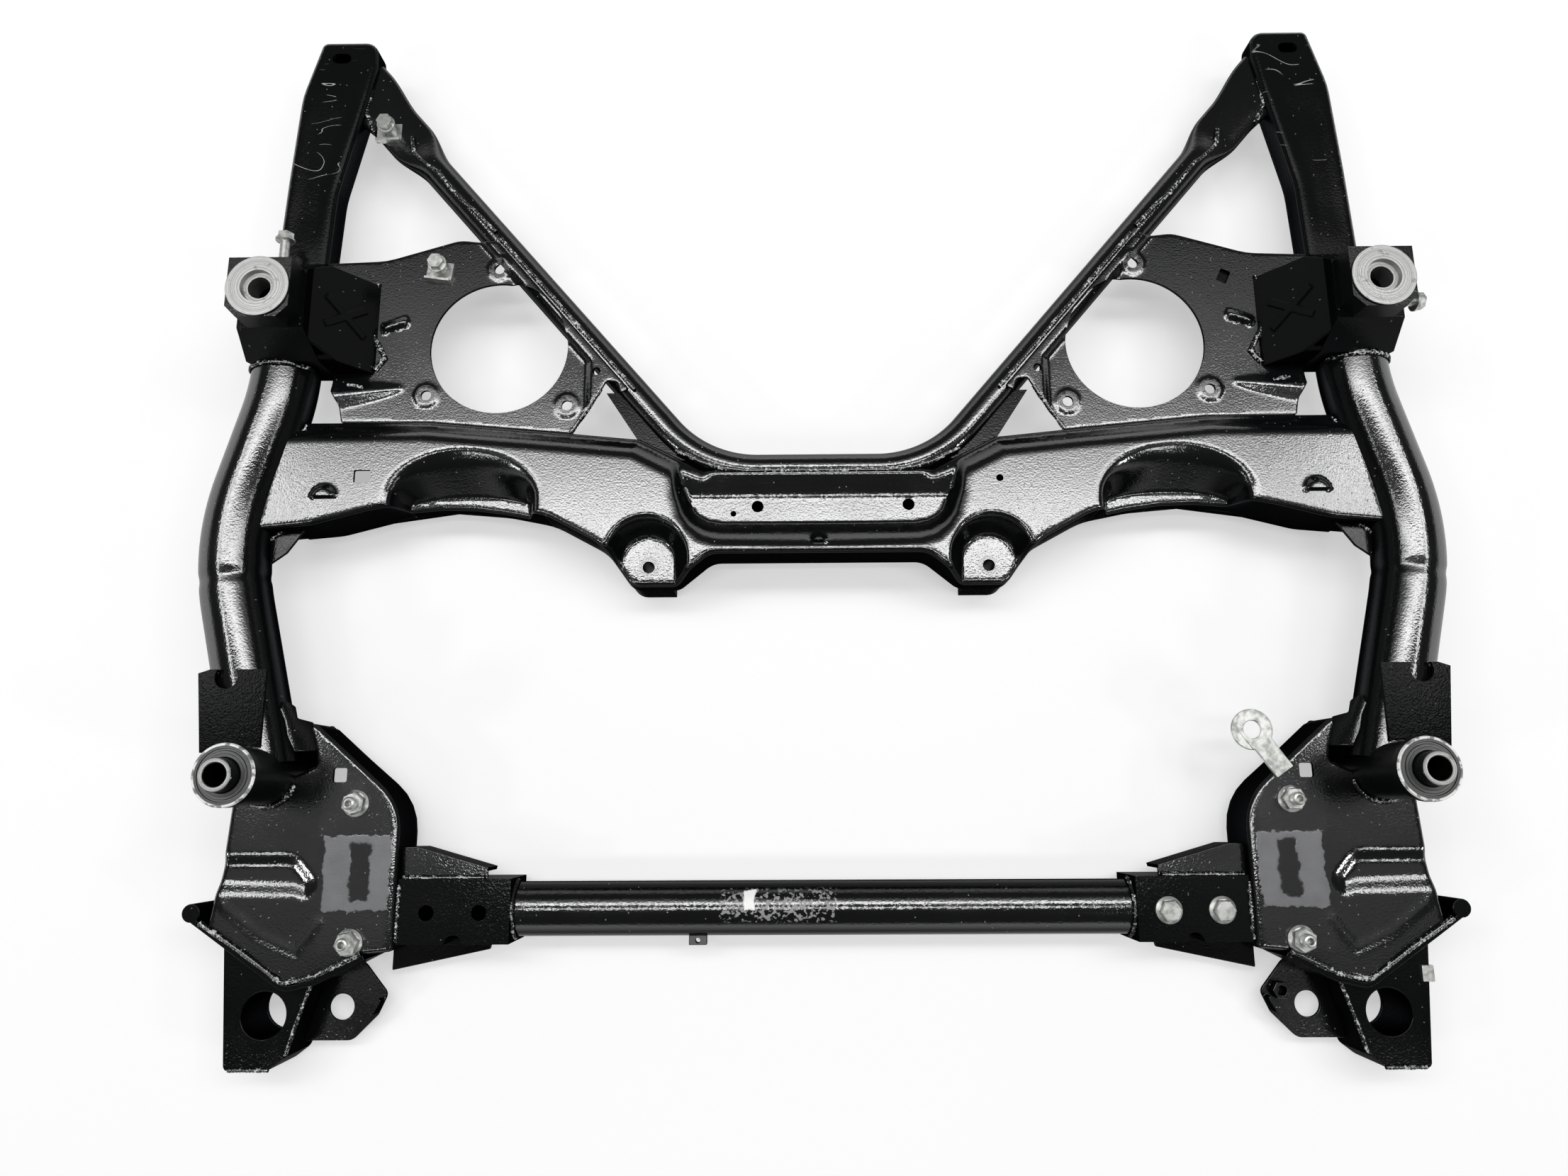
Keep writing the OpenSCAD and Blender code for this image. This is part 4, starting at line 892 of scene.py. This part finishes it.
def front_tube():
    low, high = box_mm("front_tube")
    line = densified(np.array([[low[0], FRONT_Y], [high[0], FRONT_Y]]), 6, closed=False)
    obj = sweep("front_tube_skin", line, lambda i: (FRONT_R, FRONT_R, FRONT_Z, 1.0), 96)
    finish_piece(obj, marked, "front_tube")


for side, s in SIDES.items():
    engine_plate(side, s)
    rear_arm(side, s)
    front_corner(side, s)
    corner_tongue(side, s)
    side_tube(side, s)
brace()
front_tube()


# Seats: bushes with a grooved flange, sleeves with a bright rim, blocks

both_bushes = [(s * BUSH[0], BUSH[1]) for s in SIDES.values()]
neck = BUSH_R - 2.2
bushes = lathe("front_bushes_turned", both_bushes, [
    (neck, BUSH_FOOT), (neck, BUSH_TOP - 10), (BUSH_R - 0.6, BUSH_TOP - 9), (BUSH_R, BUSH_TOP - 8.4),
    (BUSH_R, BUSH_TOP - 0.9), (BUSH_R - 0.9, BUSH_TOP), (19.6, BUSH_TOP), (19.2, BUSH_TOP - 0.7),
    (18.0, BUSH_TOP - 0.7), (17.6, BUSH_TOP), (13.4, BUSH_TOP), (12.6, BUSH_TOP - 0.8), (12.6, BUSH_FOOT)])
finish_piece(bushes, bush_steel, "front_bush_left", "front_bush_right", slot="machined_steel")
low_z = box_mm("centring_sleeves")[0][2]
sleeves = lathe("centring_sleeves_turned", both_bushes, [
    (12.5, low_z), (12.5, SLEEVE_TOP - 1.2), (11.3, SLEEVE_TOP), (9.4, SLEEVE_TOP),
    (8.5, SLEEVE_TOP - 1.0), (8.5, low_z)])
finish_piece(sleeves, sleeve_steel, "centring_sleeves", slot="machined_steel")
for node in ("mount_block_left", "mount_block_right", "rack_sleeves"):
    finish_piece(dressed(node, 0.8), block_steel, node, slot="machined_steel")


# Fasteners, set out with geometry nodes

def group(name, *inputs):
    """Empty geometry node group with a geometry input and output, and named inputs."""
    tree = bpy.data.node_groups.new(name, "GeometryNodeTree")
    tree.interface.new_socket("Geometry", in_out="OUTPUT", socket_type="NodeSocketGeometry")
    tree.interface.new_socket("Geometry", in_out="INPUT", socket_type="NodeSocketGeometry")
    for label, kind in inputs:
        tree.interface.new_socket(label, in_out="INPUT", socket_type=kind)
    return tree, tree.nodes.new("NodeGroupInput"), tree.nodes.new("NodeGroupOutput")


def run_group(obj, tree, **values):
    """Runs a node group on an object and keeps the result as its mesh."""
    modifier = obj.modifiers.new("nodes", "NODES")
    modifier.node_group = tree
    for item in tree.interface.items_tree:
        if item.in_out == "INPUT" and item.name in values:
            modifier[item.identifier] = values[item.name]
    return baked(obj)


def set_out_group():
    """Copies of one fastener on points, each with its own turn."""
    tree, start, end = group("set_out", ("Part", "NodeSocketObject"), ("Finish", "NodeSocketMaterial"),
                             ("Seed", "NodeSocketInt"))
    part = add(tree, "GeometryNodeObjectInfo", Object=start.outputs["Part"])
    turn = add(tree, "FunctionNodeRandomValue", {"data_type": "FLOAT"}, in_2=0.0, in_3=math.tau,
               Seed=start.outputs["Seed"])
    spin = add(tree, "ShaderNodeCombineXYZ", Z=turn.outputs[1]).outputs[0]
    copies = add(tree, "GeometryNodeInstanceOnPoints", Points=start.outputs["Geometry"],
                 Instance=part.outputs["Geometry"], Rotation=spin)
    real = add(tree, "GeometryNodeRealizeInstances", Geometry=copies.outputs[0])
    done = add(tree, "GeometryNodeSetMaterial", Geometry=real.outputs[0], Material=start.outputs["Finish"])
    tree.links.new(done.outputs[0], end.inputs[0])
    return tree


def fastener(name, hex_r, hex_h, flange_r, shank_r, below, above, bore=0.0):
    """Hexagon over a flange, with a threaded shank that runs from -below to above."""
    points, faces = [], []

    def stack(rows, count, turn=0.0):
        first = len(points)
        angles = [turn + math.tau * k / count for k in range(count)]
        for r, z in rows:
            points.extend([(r * math.cos(t), r * math.sin(t), z) for t in angles])
        last = first + (len(rows) - 1) * count
        for a in range(first, last, count):
            faces.extend(band(a, a + count, count))
        faces.append(tuple(reversed(range(first, first + count))))
        faces.append(tuple(range(last, last + count)))
    stack([(flange_r - 0.6, 0), (flange_r, 0.6), (flange_r - 0.2, 1.3), (hex_r * 0.95, 2.6)], 40)
    stack([(hex_r, 1.5), (hex_r, hex_h - 1.0), (hex_r * 0.9, hex_h)], 6)
    stack([(hex_r * 0.86, hex_h - 0.6), (hex_r * 0.8, hex_h + 0.25), (hex_r * 0.6, hex_h + 0.3)], 32)
    rows, z, k = [(shank_r * 0.8, -below)], -below + 0.6, 0
    while z < above - 1.0:
        rows.append((shank_r if k % 2 else shank_r - 0.7, z))
        z, k = z + 0.65, k + 1
    rows += [(shank_r * 0.86, above - 0.4), (shank_r * 0.7, above)]
    if bore:
        rows += [(bore, above), (bore * 0.9, above - 8)]
    stack(rows, 28)
    return sharpen(recalc(add_object(name, points, faces)), 30)


def fasteners(name, places, part, seed, *nodes):
    """One kind of fastener at its places."""
    obj = add_object(name, places, [])
    run_group(obj, set_out, Part=part, Finish=zinc, Seed=seed)
    bpy.data.objects.remove(part)
    finish_piece(sharpen(obj, 30), zinc, *nodes, slot="zinc_plate")


set_out = set_out_group()
stud_base, stud_end = box_mm("corner_studs")[0][2], box_mm("corner_studs")[1][2]
fasteners("flange_nuts_on_studs", [(s * x, y, PLATE_Z) for s in (-1, 1) for x, y in STUDS],
          fastener("nut", 9.2, 9.0, 10.5, 5.0, PLATE_Z - stud_base, stud_end - PLATE_Z, 2.6), 3,
          "stud_nuts", "corner_studs")
socket_low, socket_high = box_mm("socket_bolts")
socket_ends = [socket_low[0] + 10.5, socket_high[0] - 10.5]
fasteners("flange_bolts_in_socket", [(x, FRONT_Y - 1, SOCKET_OUT[2]) for x in socket_ends],
          fastener("socket_bolt", 8.6, 7.7, 10.5, 6.0, SOCKET_OUT[2] - socket_low[2], 7.0), 5,
          "socket_bolts")


# Weld beads, rippled along their seams

def bead_group():
    """A rounded bead along each edge line, with the ripple of the weld pool."""
    tree, start, end = group("weld_bead", ("Radius", "NodeSocketFloat"), ("Pitch", "NodeSocketFloat"),
                             ("Finish", "NodeSocketMaterial"))
    line = add(tree, "GeometryNodeMeshToCurve", Mesh=start.outputs["Geometry"])
    line = add(tree, "GeometryNodeResampleCurve", {"mode": "LENGTH"}, Curve=line.outputs[0],
               Length=0.9 * MM)
    gone = add(tree, "GeometryNodeSplineParameter").outputs["Length"]
    turns = maths(tree, "DIVIDE", product(tree, gone, math.tau), start.outputs["Pitch"])
    wave = maths(tree, "SINE", turns)
    where = add(tree, "GeometryNodeInputPosition").outputs[0]
    lump = add(tree, "ShaderNodeTexNoise", Vector=where, Scale=1 / (9 * MM), Detail=2.0).outputs[0]
    thick = maths(tree, "ADD", product(tree, wave, 0.11), product(tree, lump, 0.9))
    scale = product(tree, maths(tree, "ADD", thick, 0.55), start.outputs["Radius"])
    ring = add(tree, "GeometryNodeCurvePrimitiveCircle", Resolution=10, Radius=1.0)
    skin = add(tree, "GeometryNodeCurveToMesh", Curve=line.outputs[0], Profile_Curve=ring.outputs[0],
               Scale=scale, Fill_Caps=True)
    skin = add(tree, "GeometryNodeSetShadeSmooth", Geometry=skin.outputs[0])
    real = add(tree, "GeometryNodeRealizeInstances", Geometry=skin.outputs[0])
    done = add(tree, "GeometryNodeSetMaterial", Geometry=real.outputs[0], Material=start.outputs["Finish"])
    tree.links.new(done.outputs[0], end.inputs[0])
    return tree


def arc(centre, r, start, stop, axis="z"):
    """Points of an arc about an axis through centre, in degrees."""
    out = []
    for t in np.radians(np.linspace(start, stop, 24)):
        a, b = r * math.cos(t), r * math.sin(t)
        out.append(np.array(centre) + {"x": [0, a, b], "y": [a, 0, b], "z": [a, b, 0]}[axis])
    return out


def welds(name, lines, radius):
    """Beads along lines given for the right side, and on the left."""
    points, edges = [], []
    for line in lines:
        for s in (1, -1):
            first = len(points)
            points += [np.array(p, float) * [s, 1, 1] for p in line]
            edges += [(first + i, first + i + 1) for i in range(len(line) - 1)]
    obj = add_object(name, points, [], edges=edges)
    run_group(obj, bead, Radius=radius * MM, Pitch=2.6 * MM, Finish=bead_coat_with_painted_glints)
    finish_piece(recalc(obj), bead_coat_with_painted_glints)


bead = bead_group()
top = BRACE_Z + BRACE_R
crest = [(leg_x(y), y, top + 1.5) for y in np.linspace(240, 100, 12)]
lip = [(x, y, PLATE_Z) for x, y in
       ((479, -330), (444, -352), (412, -374), (398, -372), (386, -369), (353, -353))]
welds("brace_welds", [
    crest, [(112, 52, 56), (126, 68, 56), (141, 86, 56)],
    [(118, 47, 62), (108, 42, 63), (96, 36, 63), (80, 31, 63), (60, 28.5, 63), (0, 28.5, 63)],
    [(207, 64, 60), (194, 83, 61.5), (182, 101, 64)],
    [(395, 352, 54), (404, 372, 55), (400, 395, 55)],
    [(278, 247, 63.5), (298, 268, 63.3), (310, 278, 63), (332, 306, 62), (350, 321, 59.5),
     (357, 330, 57.5), (360, 345, 56)]], 2.0)
welds("member_welds", [
    [(427, 70, 66), (440, 40, 73), (452, 10, 74), (458, -12, 72), (462, -24, 64)],
    [(417, -9, 60), (440, -18, 60), (455, -30, 60)]], 1.8)
welds("tower_welds", [
    arc((450, 117, SIDE_Z), SIDE_R + 0.5, 15, 160, "y"),
    [(x, y, 60.5) for x, y in ((378, 201), (382, 186), (383, 168), (378, 150), (368, 132), (376, 121))],
    [(398, 108, 60.5), (384, 105, 60.5)]], 2.2)
welds("corner_welds", [
    lip, arc((BUSH[0], BUSH[1], PLATE_Z + 0.5), BUSH_R - 0.5, 195, 320),
    [(CORNER_X - 0.5, FRONT_Y + y, z) for y, z in ((20, 54), (0, 54.5), (-23, 54))],
    [(x, FRONT_Y + 25, 50) for x in (CORNER_X - 2, CORNER_X - 40, SOCKET_IN[0] + 22)],
    arc((SOCKET_IN[0] - 0.5, FRONT_Y, FRONT_Z), FRONT_R + 1, 10, 170, "x")], 2.2)
welds("box_welds", [
    [(423, -439.3, 46), (438, -439.3, 46.3), (454, -439.3, 46)],
    [(395, -376, 45.5), (399.5, -390, 45.8), (404, -404, 45.8), (408, -418, 45.8),
     (411, -429, 45.5)]], 1.6)


# Remaining pieces keep the CAD form, with softened edges
EDGES = {"crossmember_lower": 2.5, "ear_weld_nut": 0.6}
PAIR_EDGES = {"arm_cover": 1, "tower_console": 4, "tower_wing": 1.5, "end_gusset": 1, "brace_strut": 1,
              "corner_lower": 1.2, "tube_end_cap": 1.5, "front_box": 2, "box_sleeve": 0.8,
              "ear_bracket": 1, "tube_socket": 3, "upper_gusset": 1.4, "lower_gusset": 1}
for base, bevel in PAIR_EDGES.items():
    for side in SIDES:
        EDGES["%s_%s" % (base, side)] = bevel
MATT = ("tower_wing", "tube_end_cap")
DULL = ("tower_console", "brace_strut", "tube_socket", "crossmember_lower",
        "corner_lower", "front_box", "box_sleeve", "lower_gusset", "end_gusset")
# Holes that go on through the lower sheets, below the ones in the upper pressings: centre and size
THROUGH = {"corner_lower_left": (-399, -217, 17), "corner_lower_right": (399, -217, 17),
           "crossmember_lower": (-404, 45, 19)}
for node, bevel in EDGES.items():
    skin = dressed(node, bevel, THROUGH.get(node))
    finish = matt_coat if node.startswith(MATT) else dull_coat if node.startswith(DULL) else coat
    finish_piece(skin, finish, node)
for node in ("clip_nuts", "clip_bolts", "tower_bolts", "ground_tab", "spring_clip"):
    finish_piece(dressed(node, 0.6), zinc, node, slot="zinc_plate")
finish_piece(dressed("cable_clip", 0.8), plastic, "cable_clip", slot="black_plastic")


# Floor, light and camera

LAMP_Z = 2.2


def pale_share(tree):
    """1 for the rays that see the background directly, in a mirror or through glass."""
    path = add(tree, "ShaderNodeLightPath").outputs
    return maths(tree, "MAXIMUM", maths(tree, "MAXIMUM", path["Is Camera Ray"], path["Is Glossy Ray"]),
                 path["Is Transmission Ray"])


def plain_floor():
    """Pale ground that glows a little for the rays that see it, more so far away."""
    half = 6000
    corners = [[-half, -half, 0], [half, -half, 0], [half, half, 0], [-half, half, 0]]
    floor = add_object("floor", corners, [(0, 1, 2, 3)], smooth=False)
    material, tree, shader, place = new_material("pale_studio_floor")
    shader.inputs["Base Color"].default_value = srgb("#c6c6c6")
    shader.inputs["Roughness"].default_value = 0.9
    shader.inputs["Specular IOR Level"].default_value = 0.0
    shader.inputs["Emission Color"].default_value = srgb("#ffffff")
    away = add(tree, "ShaderNodeVectorMath", {"operation": "LENGTH"}, in_0=place).outputs["Value"]
    glow = product(tree, pale_share(tree), ramp(tree, away, 1200, 3200, 0.46, 0.92))
    tree.links.new(glow, shader.inputs["Emission Strength"])
    floor.data.materials.append(material)


def area_light(name, place, size, radiance, target=None):
    """Soft box of size (x, y) in metres. It faces straight down unless it has a target."""
    data = bpy.data.lights.new(name, "AREA")
    data.shape = "RECTANGLE"
    data.size, data.size_y = size
    data.energy = radiance * math.pi * size[0] * size[1]
    lamp = bpy.data.objects.new(name, data)
    lamp.location = place
    way = Vector(target or (place[0], place[1], 0)) - Vector(place)
    lamp.rotation_euler = way.to_track_quat("-Z", "Y").to_euler()
    bpy.context.scene.collection.objects.link(lamp)


def photo_camera():
    """The photograph's view: 2212 x 1659 pixels, with a focal length of 1499.67 of them."""
    wide, focal = 2212, 1499.67
    pitch, yaw, roll = (math.radians(a) for a in (-11.451, -0.5475, 0.2956))
    to_camera = Matrix.Rotation(roll, 3, "Z") @ Matrix.Rotation(pitch, 3, "X")
    to_camera = (to_camera @ Matrix.Rotation(yaw, 3, "Y")).transposed().to_4x4()
    stand = Matrix.Translation(Vector((-20.35, -242.13, 907.56)) * MM)
    data = bpy.data.cameras.new("camera")
    data.sensor_width = 36
    data.lens = 36 * focal / wide
    data.clip_start, data.clip_end = 0.02, 50
    camera = bpy.data.objects.new("camera", data)
    camera.matrix_world = stand @ to_camera
    bpy.context.scene.collection.objects.link(camera)
    bpy.context.scene.camera = camera


def pale_world():
    """Pale near the horizon and dim overhead, so that level faces stay dark."""
    world = bpy.data.worlds.new("studio")
    world.use_nodes = True
    tree = world.node_tree
    ground = tree.nodes["Background"]
    ground.inputs["Color"].default_value = srgb("#ffffff")
    way = add(tree, "ShaderNodeTexCoord").outputs["Generated"]
    up = add(tree, "ShaderNodeSeparateXYZ", Vector=way).outputs[2]
    tree.links.new(ramp(tree, up, 0.2, 0.45, 1.0, 0.05), ground.inputs["Strength"])
    bpy.context.scene.world = world


plain_floor()
area_light("main_strip", (0, 0.49, LAMP_Z), (2.8, 0.28), 9.0)
area_light("soft_strip", (0, 0.75, LAMP_Z), (2.8, 0.24), 3.0)
area_light("front_strip", (0, -0.25, LAMP_Z), (1.7, 0.14), 11.0)
for s in SIDES.values():
    area_light("side_strip", (s * 1.65, 0.45, LAMP_Z), (0.32, 0.9), 8.0)
    area_light("corner_strip", (s * 1.5, -1.3, LAMP_Z), (0.7, 0.3), 7.0)
    area_light("glint", (s * 2.4, -1.2, 1.7), (0.25, 0.25), 40.0, (0, 0, 0))
area_light("rear_panel", (0, 1.15, LAMP_Z), (3.4, 0.55), 0.45)
for s in SIDES.values():
    area_light("corner_panel", (s * 1.4, -0.3, LAMP_Z), (0.9, 0.8), 0.2)
pale_world()
photo_camera()
bpy.context.scene.view_settings.view_transform = "Standard"
